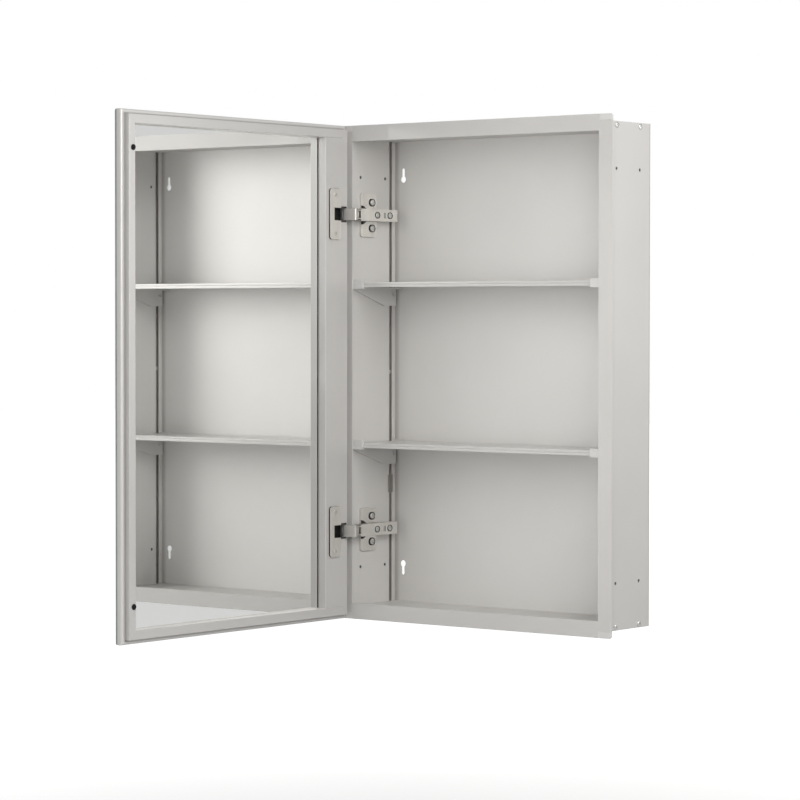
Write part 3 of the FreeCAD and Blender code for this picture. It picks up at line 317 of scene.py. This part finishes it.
# Mesh helpers

def link(name, data):
    piece = bpy.data.objects.new(name, data)
    scene.collection.objects.link(piece)
    return piece


def toMesh(work, name):
    mesh = bpy.data.meshes.new(name)
    work.to_mesh(mesh)
    work.free()
    return mesh


def bake(piece):
    # Turns a piece with modifiers into a plain mesh that stays inside the box of the whole CAD model.
    graph = bpy.context.evaluated_depsgraph_get()
    mesh = bpy.data.meshes.new_from_object(piece.evaluated_get(graph))
    piece.modifiers.clear()
    low, high = cadBox
    for vert in mesh.vertices:
        vert.co = [min(max(part, least), most) for part, least, most in zip(vert.co, low, high)]
    piece.data = mesh
    mesh.name = piece.name
    return piece


def seat(piece, name):
    # The piece stands for the CAD node of that name and rides with its body.
    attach(piece, bodyOf[name])
    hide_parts(name)


flatAngle = math.radians(1)  # edges flatter than this are dissolved
cornerAngle = math.radians(40)  # edges sharper than this are eased


def mergedCopy(name):
    mesh = nodes[name].data.copy()
    if "custom_normal" in mesh.attributes:
        mesh.attributes.remove(mesh.attributes["custom_normal"])
    work = bmesh.new()
    work.from_mesh(mesh)
    bmesh.ops.remove_doubles(work, verts=work.verts, dist=mergeDistance)
    bmesh.ops.dissolve_limit(work, angle_limit=flatAngle, verts=work.verts, edges=work.edges)
    for face in work.faces:
        face.smooth = True
    work.to_mesh(mesh)
    work.free()
    return mesh


def easeEdges(piece, width, segments=2):
    bevel = piece.modifiers.new("easedEdges", "BEVEL")
    bevel.width = width * mm
    bevel.segments = segments
    bevel.limit_method = "ANGLE"
    bevel.angle_limit = cornerAngle
    bevel.use_clamp_overlap = True
    bevel.miter_outer = "MITER_ARC"
    weigh = piece.modifiers.new("evenNormals", "WEIGHTED_NORMAL")
    weigh.keep_sharp = True


def carve(piece, cutter):
    cut = piece.modifiers.new("carve", "BOOLEAN")
    cut.operation = "DIFFERENCE"
    cut.solver = "EXACT"
    cut.material_mode = "TRANSFER"
    cut.object = cutter
    bake(piece)


def prism(name, outline, axis, low, high):
    # Closed prism over an outline in the two other axes, from low to high along its axis.
    order = {"x": (1, 2, 0), "y": (0, 2, 1), "z": (0, 1, 2)}[axis]
    work = bmesh.new()
    rings = []
    for level in (low, high):
        ring = []
        for u, v in outline:
            spot = [0, 0, 0]
            for axisIndex, value in zip(order, (u, v, level)):
                spot[axisIndex] = value
            ring.append(work.verts.new(spot))
        rings.append(ring)
    work.faces.new(rings[0])
    work.faces.new(rings[1])
    for i in range(len(outline)):
        j = (i + 1) % len(outline)
        work.faces.new((rings[0][i], rings[0][j], rings[1][j], rings[1][i]))
    bmesh.ops.recalc_face_normals(work, faces=work.faces)
    return toMesh(work, name)


def capsule(middle, half, radius, steps=14):
    # Outline of a slot with round ends; half is the reach of its straight part along the first axis.
    spots = []
    for side in (1, -1):
        for i in range(steps + 1):
            angle = math.pi * i / steps - math.pi / 2
            u = side * (half + radius * math.cos(angle))
            spots.append((middle[0] + u, middle[1] + side * radius * math.sin(angle)))
    return spots


def islands(name):
    # Boxes of the separate solids of a CAD node.
    work = bmesh.new()
    work.from_mesh(nodes[name].data)
    bmesh.ops.remove_doubles(work, verts=work.verts, dist=mergeDistance)
    left = set(work.verts)
    boxes = []
    while left:
        reached = [left.pop()]
        for vert in reached:
            for edge in vert.link_edges:
                other = edge.other_vert(vert)
                if other in left:
                    left.remove(other)
                    reached.append(other)
        spots = [vert.co.copy() for vert in reached]
        boxes.append((Vector(map(min, zip(*spots))), Vector(map(max, zip(*spots)))))
    work.free()
    return sorted(boxes, key=lambda box: tuple(box[0]))


def middles(name):
    return [(low + high) / 2 for low, high in islands(name)]


# Box, shelves, door frame and small hinge pieces: the CAD solids with their edges eased, width in mm

easedEdges = {
    "left_side_panel": 0.35, "right_side_panel": 0.35, "top_panel": 0.35, "bottom_panel": 0.35,
    "back_panel": 0.25,
    "top_left_corner_cap": 0.5, "top_right_corner_cap": 0.5,
    "bottom_left_corner_cap": 0.5, "bottom_right_corner_cap": 0.5,
    "upper_shelf": 0.25, "lower_shelf": 0.25,
    "upper_left_bracket": 0.5, "upper_right_bracket": 0.5,
    "lower_left_bracket": 0.5, "lower_right_bracket": 0.5,
    "door_hinge_stile": 0.3, "door_free_stile": 0.3, "door_top_rail": 0.3, "door_bottom_rail": 0.3,
    "upper_outer_lever": 0.25, "lower_outer_lever": 0.25,
    "upper_inner_lever": 0.3, "lower_inner_lever": 0.3,
    "upper_cup_plate": 0.35, "lower_cup_plate": 0.35,
    "upper_hinge_cup": 0.25, "lower_hinge_cup": 0.25,
    "door_bumpers": 0.5,
}
# doorMarks place the painted highlight on the nose, the painted shade in the step and the painted light and
# shade on the lips, sizes in mm.
doorMarks = {
    "shoulder": 5.5, "near": 3.6, "depth": 5.5, "reach": 0.5, "stileGroove": 0.55,
    "noseHighlight": 1.16, "stileLipShade": 0.78, "railLipLight": 1.5, "lipReach": 0.05, "lipDepth": 0.7,
}
# slotMarks place the painted shade inside the nut slot, in mm.
slotMarks = {"line": 9.1, "half": 5.6, "shallow": 0.6, "deep": 5.4}


def setMark(mesh, name, values):
    mark = mesh.attributes.new(name, "FLOAT", "POINT")
    mark.data.foreach_set("value", values)


def markDoorBar(mesh, isRail):
    # Painted light and shade: a painted highlight on the nose, painted shade in the step behind it, painted
    # shade on the stile's lip round the inner mirror and painted light on the rails' lips.
    look = doorMarks
    low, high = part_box("front_mirror")
    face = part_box("door_free_stile")[1].x
    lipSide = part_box("door_hinge_stile")[0].y
    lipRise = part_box("door_top_rail")[0].z
    deepestShade = 1 if isRail else look["stileGroove"]
    grooves = []
    tones = []
    for vert in mesh.vertices:
        spot = vert.co
        inset = min(spot.y - low.y, high.y - spot.y, spot.z - low.z, high.z - spot.z) / mm
        depth = (face - spot.x) / mm
        inStep = depth > look["depth"] and inset < look["shoulder"] + look["reach"]
        offLip = abs(abs(spot.z) - lipRise) if isRail else abs(spot.y - lipSide)
        near = (inset - look["near"]) / (look["shoulder"] - look["near"])
        tone = 1
        if inStep and inset < look["near"]:
            tone = look["noseHighlight"]
        elif offLip < look["lipReach"] * mm and depth > look["lipDepth"]:
            tone = look["railLipLight" if isRail else "stileLipShade"]
        grooves.append(max(0, min(deepestShade, near)) if inStep else 0)
        tones.append(tone)
    setMark(mesh, "groove", grooves)
    setMark(mesh, "tone", tones)


def markSidePanel(mesh):
    # Painted shade: the inside of the nut slot in the rear corner is darkened.
    look = slotMarks
    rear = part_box("left_side_panel")[1].y
    grooves = []
    for vert in mesh.vertices:
        depth = (abs(vert.co.x) - innerWall) / mm
        off = abs(rear - vert.co.y - look["line"] * mm) / mm
        inSlot = off < look["half"] and look["shallow"] < depth < look["deep"]
        grooves.append(1 if inSlot else 0)
    setMark(mesh, "groove", grooves)
    setMark(mesh, "tone", [1] * len(grooves))


for name, width in easedEdges.items():
    piece = link(name + "_eased", mergedCopy(name))
    easeEdges(piece, width)
    bake(piece)
    if ownFinish.get(name) == "doorAluminium":
        markDoorBar(piece.data, "rail" in name)
    elif ownFinish.get(name) == "sideAluminium":
        markSidePanel(piece.data)
    seat(piece, name)
print("edges eased:", len(easedEdges))


# Painted shade: black plugs in the mounting holes stand for the dark hollow cells of the sides behind them

holeShadeLook = {"holeInset": 55.3, "radius": 2.05, "skin": 0.9, "sides": 24, "lineDigits": 5}


def makeHoleShades():
    look = holeShadeLook
    lines = sorted({round(spot.y, look["lineDigits"]) for spot in middles("assembly_screws")})
    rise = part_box("back_panel")[1].z - look["holeInset"] * mm
    radius = look["radius"] * mm
    length = panelThick - 2 * look["skin"] * mm
    lying = Matrix.Rotation(math.pi / 2, 4, "Y")
    work = bmesh.new()
    for side in (-1, 1):
        for line in lines:
            for level in (1, -1):
                spot = (side * (boxHalf + innerWall) / 2, line, level * rise)
                bmesh.ops.create_cone(work, cap_ends=True, segments=look["sides"], radius1=radius,
                                      radius2=radius, depth=length, matrix=Matrix.Translation(spot) @ lying)
    mesh = toMesh(work, "mount_hole_shades")
    mesh.materials.append(finishes["blackPlastic"])
    piece = link("mount_hole_shades", mesh)
    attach(piece, "cabinet")


makeHoleShades()
print("hole linings made")


# Hinge plates and arms: pockets for the screws and adjusting marks, black inside as painted shade, eased
# edges, and black wedges as painted shade in the gaps beside the arms

hingeLook = {
    "wingThick": 2.6, "webRise": 14.0, "overrun": 2.0, "plateEdge": 0.7, "armEdge": 0.4,
    "wingPocketRadius": 4.8, "wingPocketHalf": 1.9, "wingPocketDepth": 1.9,
    "armPocketRadius": 4.0, "armPocketHalf": 1.2, "armPocketDepth": 0.75,
    "markWidth": 0.9, "markHalf": 3.4, "markLeads": (8.5, 11.0), "markDepth": 0.5,
    "wedgeGap": 0.25, "wedgeRise": 2.2, "wedgeLead": 0.3, "wedgeEdge": 0.3,
    "wedgeCorners": ((0, 0), (8.5, 0), (3.0, 3.4), (0, 4.0)),
}


def sinkPocket(body, outline, top, depth, wallAndFloor):
    # Cuts a pocket into a face that looks along X; the last finish is its floor's.
    shape = prism("pocket", outline, "x", top - depth * mm, top + hingeLook["overrun"] * mm)
    for finish in wallAndFloor:
        shape.materials.append(finishes[finish])
    for face in shape.polygons:
        face.material_index = len(wallAndFloor) - 1 if abs(face.normal.x) > faceOn else 0
    pocket = link("pocket", shape)
    carve(body, pocket)
    bpy.data.objects.remove(pocket)


def makePlate(level, wing):
    look = hingeLook
    name = f"{level}_hinge_plate"
    low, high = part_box(name)
    body = link(name + "_eased", mergedCopy(name))
    half = look["wingPocketHalf"] * mm
    for spot in middles("hinge_plate_screws"):
        if low.z < spot.z < high.z:
            outline = capsule((spot.y - half, spot.z), half, look["wingPocketRadius"] * mm)
            # The pocket's floor is black plastic, painted shade round the sunk screw head.
            sinkPocket(body, outline, wing, look["wingPocketDepth"], ("nickelSteel", "blackPlastic"))
    easeEdges(body, look["plateEdge"])
    seat(bake(body), name)


def makeArm(level, web):
    look = hingeLook
    name = f"{level}_hinge_arm"
    low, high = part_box(name)
    body = link(name + "_eased", mergedCopy(name))
    fixing = middles("hinge_fixing_screws")
    for spot in fixing + middles("hinge_side_screws"):
        if not low.z < spot.z < high.z:
            continue
        outline = capsule((spot.y, spot.z), look["armPocketHalf"] * mm, look["armPocketRadius"] * mm)
        # The arm's pockets and adjusting marks are black plastic throughout, painted shade in these recesses.
        sinkPocket(body, outline, web, look["armPocketDepth"], ("blackPlastic",))
        reach = look["markHalf"] * mm
        for lead in look["markLeads"] if spot in fixing else ():
            near = spot.y - lead * mm
            far = near - look["markWidth"] * mm
            bottom, top = spot.z - reach, spot.z + reach
            mark = [(near, bottom), (near, top), (far, top), (far, bottom)]
            sinkPocket(body, mark, web, look["markDepth"], ("blackPlastic",))
    easeEdges(body, look["armEdge"])
    seat(bake(body), name)


def addGapShades(work, level, wing):
    # Painted shade: black wedges at the wings' front corners beside the arm stand for the dark gaps there.
    look = hingeLook
    plateLow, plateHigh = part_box(f"{level}_hinge_plate")
    armLow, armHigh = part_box(f"{level}_hinge_arm")
    middle = (plateLow.z + plateHigh.z) / 2
    off = (armHigh.z - armLow.z) / 2 + look["wedgeGap"] * mm
    lead = plateLow.y + look["wedgeLead"] * mm
    for side in (1, -1):
        near = middle + side * off
        outline = [(lead + along * mm, near + side * up * mm) for along, up in look["wedgeCorners"]]
        work.from_mesh(prism("wedge", outline, "x", wing, wing + look["wedgeRise"] * mm))


def makeHinges():
    wedges = bmesh.new()
    for level in ("lower", "upper"):
        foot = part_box(f"{level}_hinge_plate")[0].x
        wing = foot + hingeLook["wingThick"] * mm
        makePlate(level, wing)
        makeArm(level, foot + hingeLook["webRise"] * mm)
        addGapShades(wedges, level, wing)
    mesh = toMesh(wedges, "hinge_gap_shades")
    mesh.materials.append(finishes["blackPlastic"])
    piece = link("hinge_gap_shades", mesh)
    easeEdges(piece, hingeLook["wedgeEdge"])
    bake(piece)
    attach(piece, "cabinet")


makeHinges()
print("hinges dressed")


# Front mirror: silvered face towards the room, ground and eased edge, painted rear

frontMirrorLook = {"arris": 0.6, "segments": 3}


def makeFrontMirror():
    piece = link("front_mirror_glass", mergedCopy("front_mirror"))
    easeEdges(piece, frontMirrorLook["arris"], frontMirrorLook["segments"])
    mesh = bake(piece).data
    mesh.materials.clear()
    for finish in ("silveredGlass", "groundGlass", "mirrorPaint"):
        mesh.materials.append(finishes[finish])
    for face in mesh.polygons:
        if face.normal.x < -faceOn:
            face.material_index = 0
        else:
            face.material_index = 2 if face.normal.x > faceOn else 1
    seat(piece, "front_mirror")


makeFrontMirror()
print("front mirror made")


# Painted shadow: a dark rubber strip where the inner mirror meets the hinge stile stands for the shadow gap
# there

mirrorShadowLook = {"width": 1.6, "height": 0.4, "steps": 8}


def makeMirrorShadowLine():
    width, height, steps = (mirrorShadowLook[key] for key in ("width", "height", "steps"))
    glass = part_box("inner_mirror")[1].x
    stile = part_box("door_hinge_stile")[0].y
    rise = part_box("door_top_rail")[0].z
    outline = []
    for i in range(steps + 1):
        angle = math.pi * i / steps
        across = stile - width * mm * (1 - math.cos(angle)) / 2
        outline.append((glass + height * mm * math.sin(angle), across))
    mesh = prism("mirror_shadow_line", outline, "z", -rise, rise)
    mesh.materials.append(finishes["blackRubber"])
    piece = link("mirror_shadow_line", mesh)
    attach(piece, "door")


makeMirrorShadowLine()
print("mirror bead made")


# Screws: one tree makes a domed head with a cross recess and a shank, set on points that face outwards

screwFacets = {"around": 36, "rings": 18, "shank": 24}


def makeScrewTree():
    tree = bpy.data.node_groups.new("crossRecessScrews", "GeometryNodeTree")
    face = tree.interface
    face.new_socket("Geometry", in_out="INPUT", socket_type="NodeSocketGeometry")
    for name in ("Head radius", "Head height", "Dome power", "Shank radius", "Shank length",
                 "Recess reach", "Recess width", "Recess depth"):
        face.new_socket(name, in_out="INPUT", socket_type="NodeSocketFloat")
    face.new_socket("Turn seed", in_out="INPUT", socket_type="NodeSocketInt")
    face.new_socket("Finish", in_out="INPUT", socket_type="NodeSocketMaterial")
    face.new_socket("Geometry", in_out="OUTPUT", socket_type="NodeSocketGeometry")
    given = addNode(tree, "NodeGroupInput").outputs
    join = tree.links.new

    def vector(x, y, z):
        node = addNode(tree, "ShaderNodeCombineXYZ")
        for socket, value in zip(node.inputs, (x, y, z)):
            give(tree, value, socket)
        return node.outputs["Vector"]

    def moved(geometry, offset):
        node = addNode(tree, "GeometryNodeTransform")
        join(geometry, node.inputs["Geometry"])
        join(offset, node.inputs["Translation"])
        return node.outputs["Geometry"]

    # The upper half of a ball, squared off by the dome power, is the head.
    ball = addNode(tree, "GeometryNodeMeshUVSphere", Radius=1.0,
                   Segments=screwFacets["around"], Rings=screwFacets["rings"])
    split = addNode(tree, "ShaderNodeSeparateXYZ")
    join(addNode(tree, "GeometryNodeInputPosition").outputs["Position"], split.inputs["Vector"])
    rise = calc(tree, "POWER", calc(tree, "MAXIMUM", split.outputs["Z"], 0.0), given["Dome power"])
    dome = addNode(tree, "GeometryNodeSetPosition")
    join(ball.outputs["Mesh"], dome.inputs["Geometry"])
    join(vector(calc(tree, "MULTIPLY", split.outputs["X"], given["Head radius"]),
                calc(tree, "MULTIPLY", split.outputs["Y"], given["Head radius"]),
                calc(tree, "MULTIPLY", rise, given["Head height"])), dome.inputs["Position"])
    recess = addNode(tree, "GeometryNodeMeshBoolean", operation="DIFFERENCE")
    join(dome.outputs["Geometry"], recess.inputs["Mesh 1"])
    long = calc(tree, "MULTIPLY", given["Recess reach"], 2.0)
    tall = calc(tree, "MULTIPLY", given["Recess depth"], 2.0)
    lift = vector(0.0, 0.0, given["Head height"])
    for x, y in ((long, given["Recess width"]), (given["Recess width"], long)):
        bar = addNode(tree, "GeometryNodeMeshCube")
        join(vector(x, y, tall), bar.inputs["Size"])
        join(moved(bar.outputs["Mesh"], lift), recess.inputs["Mesh 2"])
    shank = addNode(tree, "GeometryNodeMeshCylinder", Vertices=screwFacets["shank"])
    join(given["Shank radius"], shank.inputs["Radius"])
    join(given["Shank length"], shank.inputs["Depth"])
    drop = vector(0.0, 0.0, calc(tree, "MULTIPLY", given["Shank length"], -0.5))
    screw = addNode(tree, "GeometryNodeJoinGeometry")
    join(recess.outputs["Mesh"], screw.inputs["Geometry"])
    join(moved(shank.outputs["Mesh"], drop), screw.inputs["Geometry"])
    # Each screw looks the way its point says and is turned by chance about its own axis.
    facing = addNode(tree, "GeometryNodeInputNamedAttribute", data_type="FLOAT_VECTOR", Name="facing")
    aim = addNode(tree, "FunctionNodeAlignRotationToVector", axis="Z")
    join(facing.outputs["Attribute"], aim.inputs["Vector"])
    chance = addNode(tree, "FunctionNodeRandomValue", data_type="FLOAT")
    for socket in chance.inputs:
        if socket.name == "Max" and socket.type == "VALUE":
            socket.default_value = math.pi
        if socket.name == "Seed":
            join(given["Turn seed"], socket)
    spin = addNode(tree, "FunctionNodeAxisAngleToRotation", Axis=(0, 0, 1))
    join(next(socket for socket in chance.outputs if socket.enabled), spin.inputs["Angle"])
    turn = addNode(tree, "FunctionNodeRotateRotation", rotation_space="LOCAL")
    join(aim.outputs["Rotation"], turn.inputs["Rotation"])
    join(spin.outputs["Rotation"], turn.inputs["Rotate By"])
    place = addNode(tree, "GeometryNodeInstanceOnPoints")
    join(given["Geometry"], place.inputs["Points"])
    join(screw.outputs["Geometry"], place.inputs["Instance"])
    join(turn.outputs["Rotation"], place.inputs["Rotation"])
    real = addNode(tree, "GeometryNodeRealizeInstances")
    join(place.outputs["Instances"], real.inputs["Geometry"])
    paint = addNode(tree, "GeometryNodeSetMaterial")
    join(real.outputs["Geometry"], paint.inputs["Geometry"])
    join(given["Finish"], paint.inputs["Material"])
    join(paint.outputs["Geometry"], addNode(tree, "NodeGroupOutput").inputs["Geometry"])
    return tree


screwTree = makeScrewTree()
# Facing is the way the head looks: a fixed direction, or outwards or inwards along X.
# Recess is the reach, width and depth of the cross; sink sets the head below the CAD head's top.
screwLooks = {
    "assembly_screws": {
        "facing": "outwards", "head": 2.0, "power": 0.5, "shank": 1.75, "recess": (2.3, 0.8, 1.1),
    },
    "hinge_plate_screws": {
        "facing": (1, 0, 0), "head": 1.6, "power": 0.45, "shank": 1.8, "recess": (2.1, 0.8, 1.0),
        "sink": 1.3, "radius": 3.9,
    },
    "hinge_side_screws": {
        "facing": (1, 0, 0), "head": 1.4, "power": 0.4, "shank": 2.0, "recess": (2.2, 0.8, 0.9), "sink": 0.5,
    },
    "hinge_fixing_screws": {
        "facing": (1, 0, 0), "head": 1.4, "power": 0.4, "shank": 2.0, "recess": (2.2, 0.8, 0.9), "sink": 0.5,
    },
    "upper_bracket_screws": {
        "facing": "inwards", "head": 2.2, "power": 0.5, "shank": 2.0, "recess": (2.4, 0.8, 1.2),
    },
    "lower_bracket_screws": {
        "facing": "inwards", "head": 2.2, "power": 0.5, "shank": 2.0, "recess": (2.4, 0.8, 1.2),
    },
    "cup_screws": {
        "facing": (1, 0, 0), "head": 0.6, "power": 0.35, "shank": 1.6, "recess": (1.7, 0.7, 0.45),
    },
    "back_panel_screws": {
        "facing": (0, 1, 0), "head": 0.3, "power": 0.3, "shank": 1.2, "recess": (1.5, 0.6, 0.25), "sink": 0.3,
    },
    "slot_stop_screws": {
        "facing": "inwards", "head": 1.2, "power": 0.5, "shank": 1.4, "recess": (1.7, 0.7, 0.7),
    },
}


def makeScrews(name, seed):
    look = screwLooks[name]
    under = (look["head"] + look.get("sink", 0)) * mm  # from the CAD head's top to the head's seat
    spots = []
    ways = []
    for low, high in islands(name):
        middle = (low + high) / 2
        way = look["facing"]
        if isinstance(way, str):
            sign = math.copysign(1, middle.x)
            way = (sign, 0, 0) if way == "outwards" else (-sign, 0, 0)
        way = Vector(way)
        size = high - low
        along = abs(size.dot(way))
        radius = max(axis for axis, part in zip(size, way) if not part) / 2
        top = middle + way * along / 2
        spots.append(top - way * under)
        ways.append(way)
    mesh = bpy.data.meshes.new(name)
    mesh.from_pydata(spots, [], [])
    facing = mesh.attributes.new("facing", "FLOAT_VECTOR", "POINT")
    facing.data.foreach_set("vector", [part for way in ways for part in way])
    piece = link(name + "_made", mesh)
    maker = piece.modifiers.new("screws", "NODES")
    maker.node_group = screwTree
    reach, width, depth = look["recess"]
    values = {
        "Head radius": look["radius"] * mm if "radius" in look else radius,
        "Head height": look["head"] * mm, "Dome power": look["power"],
        "Shank radius": look["shank"] * mm, "Shank length": along - under,
        "Recess reach": reach * mm, "Recess width": width * mm, "Recess depth": depth * mm,
        "Turn seed": seed, "Finish": finishOf(name),
    }
    for socket in screwTree.interface.items_tree:
        if socket.in_out == "INPUT" and socket.name in values:
            maker[socket.identifier] = values[socket.name]
    seat(bake(piece), name)


for seed, name in enumerate(screwLooks):
    makeScrews(name, seed)
print("screws made:", len(screwLooks))


# Stage: camera, floor, world and lights

view = {
    "azimuth": 38.02, "elevation": 1.554, "roll": 0.049, "distance": 3.7205, "clipEnd": 100,
    "target": (-0.10886, -0.0906, -0.03245), "focalPixels": 3043.93, "imagePixels": 800, "sensor": 36.0,
}


def makeCamera():
    azimuth, elevation, roll = (math.radians(view[key]) for key in ("azimuth", "elevation", "roll"))
    back = Vector((math.sin(azimuth) * math.cos(elevation), -math.cos(azimuth) * math.cos(elevation),
                   math.sin(elevation)))
    level = Vector((math.cos(azimuth), math.sin(azimuth), 0))
    rise = back.cross(level)
    right = math.cos(roll) * level + math.sin(roll) * rise
    up = math.cos(roll) * rise - math.sin(roll) * level
    lens = bpy.data.cameras.new("camera")
    lens.sensor_width = view["sensor"]
    lens.lens = view["sensor"] * view["focalPixels"] / view["imagePixels"]
    lens.clip_end = view["clipEnd"]
    camera = bpy.data.objects.new("camera", lens)
    turn = Matrix((right, up, back)).transposed()
    camera.matrix_world = Matrix.Translation(Vector(view["target"]) + back * view["distance"]) @ turn.to_4x4()
    scene.collection.objects.link(camera)
    scene.camera = camera


mirroredShare = 0.55  # the mirror shows the white surroundings a little greyer than they are


def seenDirectly(tree):
    # One for camera and transmission rays, a share for glossy ones, nothing for the light on the object.
    path = addNode(tree, "ShaderNodeLightPath").outputs
    total = calc(tree, "MULTIPLY", path["Is Glossy Ray"], mirroredShare)
    for name in ("Is Camera Ray", "Is Transmission Ray"):
        total = calc(tree, "MAXIMUM", total, path[name])
    return total


floorLook = {
    "height": -0.64, "half": 14.0, "colour": (0.72, 0.72, 0.715), "mottle": 0.01, "cloudScale": 1.5,
    "roughness": 0.9, "near": 0.7, "far": 1.6, "liftNear": 0.55, "liftFar": 1.0,
}


def makeFloor():
    look = floorLook
    half, height = look["half"], look["height"]
    mesh = bpy.data.meshes.new("studioFloor")
    corners = [(-half, -half, height), (half, -half, height), (half, half, height), (-half, half, height)]
    mesh.from_pydata(corners, [], [(0, 1, 2, 3)])
    floor = link("studioFloor", mesh)
    material, tree, shader = startMaterial("paleFloor")
    vector = objectSpace(tree)
    dark, light = (shade(look["colour"], 1 + side * look["mottle"]) for side in (-1, 1))
    colour = mottled(tree, noise(tree, vector, look["cloudScale"]), dark, light)
    tree.links.new(colour, shader.inputs["Base Color"])
    shader.inputs["Roughness"].default_value = look["roughness"]
    shader.inputs["Specular IOR Level"].default_value = 0.0
    shader.inputs["Emission Color"].default_value = (1, 1, 1, 1)
    # Near the object the floor keeps its shadow; further off it fades to the white background.
    reach = addNode(tree, "ShaderNodeVectorMath", operation="LENGTH")
    tree.links.new(vector, reach.inputs[0])
    fade = spread(tree, reach.outputs["Value"], look["liftNear"], look["liftFar"], look["near"], look["far"])
    lift = calc(tree, "MULTIPLY", seenDirectly(tree), fade)
    tree.links.new(lift, shader.inputs["Emission Strength"])
    mesh.materials.append(material)


worldLook = {"skyColour": (1.0, 0.995, 0.985), "horizon": 0.33, "zenith": 0.14, "backdropStrength": 1.0}


def makeWorld():
    world = bpy.data.worlds.new("studio")
    world.use_nodes = True
    tree = world.node_tree
    sky = tree.nodes["Background"]
    sky.inputs["Color"].default_value = (*worldLook["skyColour"], 1)
    split = addNode(tree, "ShaderNodeSeparateXYZ")
    tree.links.new(addNode(tree, "ShaderNodeTexCoord").outputs["Generated"], split.inputs["Vector"])
    dim = spread(tree, split.outputs["Z"], worldLook["horizon"], worldLook["zenith"])
    tree.links.new(dim, sky.inputs["Strength"])
    strength = worldLook["backdropStrength"]
    backdrop = addNode(tree, "ShaderNodeBackground", Color=(1, 1, 1, 1), Strength=strength)
    pick = addNode(tree, "ShaderNodeMixShader")
    tree.links.new(seenDirectly(tree), pick.inputs["Fac"])
    tree.links.new(sky.outputs["Background"], pick.inputs[1])
    tree.links.new(backdrop.outputs["Background"], pick.inputs[2])
    tree.links.new(pick.outputs["Shader"], tree.nodes["World Output"].inputs["Surface"])
    scene.world = world


# A lamp with a height is a rectangle, and its spread in degrees narrows the beam.
# The lamps in front would stand in the closed mirror as bright discs, so they are not mirrored.
# The bounce lamp stands for the light that the open mirror throws back on the right wall.
whiteLight = (1, 0.995, 0.985)
lampLooks = {
    "keyLamp": {
        "place": (0.9, -0.93, 0.42), "aim": (0, -0.1, 0.08), "size": 0.8, "watts": 8.2,
        "colour": (1, 0.985, 0.96),
    },
    "wallLamp": {"place": (1.1, -0.5, 0.9), "aim": (-0.15, -0.1, 0.1), "size": 0.6, "watts": 5.0},
    "fillLamp": {
        "place": (1.1, -2.0, -0.15), "aim": (0, -0.1, 0.05), "size": 1.0, "watts": 3.4, "mirrored": False,
    },
    "frontLamp": {
        "place": (-0.7, -2.1, -0.1), "aim": (0.05, -0.1, 0.05), "size": 1.0, "watts": 5.0, "mirrored": False,
    },
    "bounceLamp": {
        "place": (-0.15, -0.19, 0.08), "aim": (0.19, -0.03, -0.02), "size": 0.16, "height": 0.46,
        "spread": 24, "watts": 0.066, "mirrored": False,
    },
    "sideLamp": {"place": (0.95, 0.3, 0.2), "aim": (0.2, -0.05, 0.05), "size": 0.5, "watts": 1.9},
}


def makeLamps():
    for name, look in lampLooks.items():
        light = bpy.data.lights.new(name, "AREA")
        light.shape = "RECTANGLE" if "height" in look else "DISK"
        light.size = look["size"]
        light.size_y = look.get("height", look["size"])
        light.spread = math.radians(look.get("spread", 180))
        light.energy = look["watts"]
        light.color = look.get("colour", whiteLight)
        lamp = link(name, light)
        place = Vector(look["place"])
        toward = Vector(look["aim"]) - place
        lamp.matrix_world = Matrix.Translation(place) @ toward.to_track_quat("-Z", "Y").to_matrix().to_4x4()
        lamp.visible_glossy = look.get("mirrored", True)
        lamp.visible_camera = False


makeCamera()
makeFloor()
makeWorld()
makeLamps()
print("stage set")
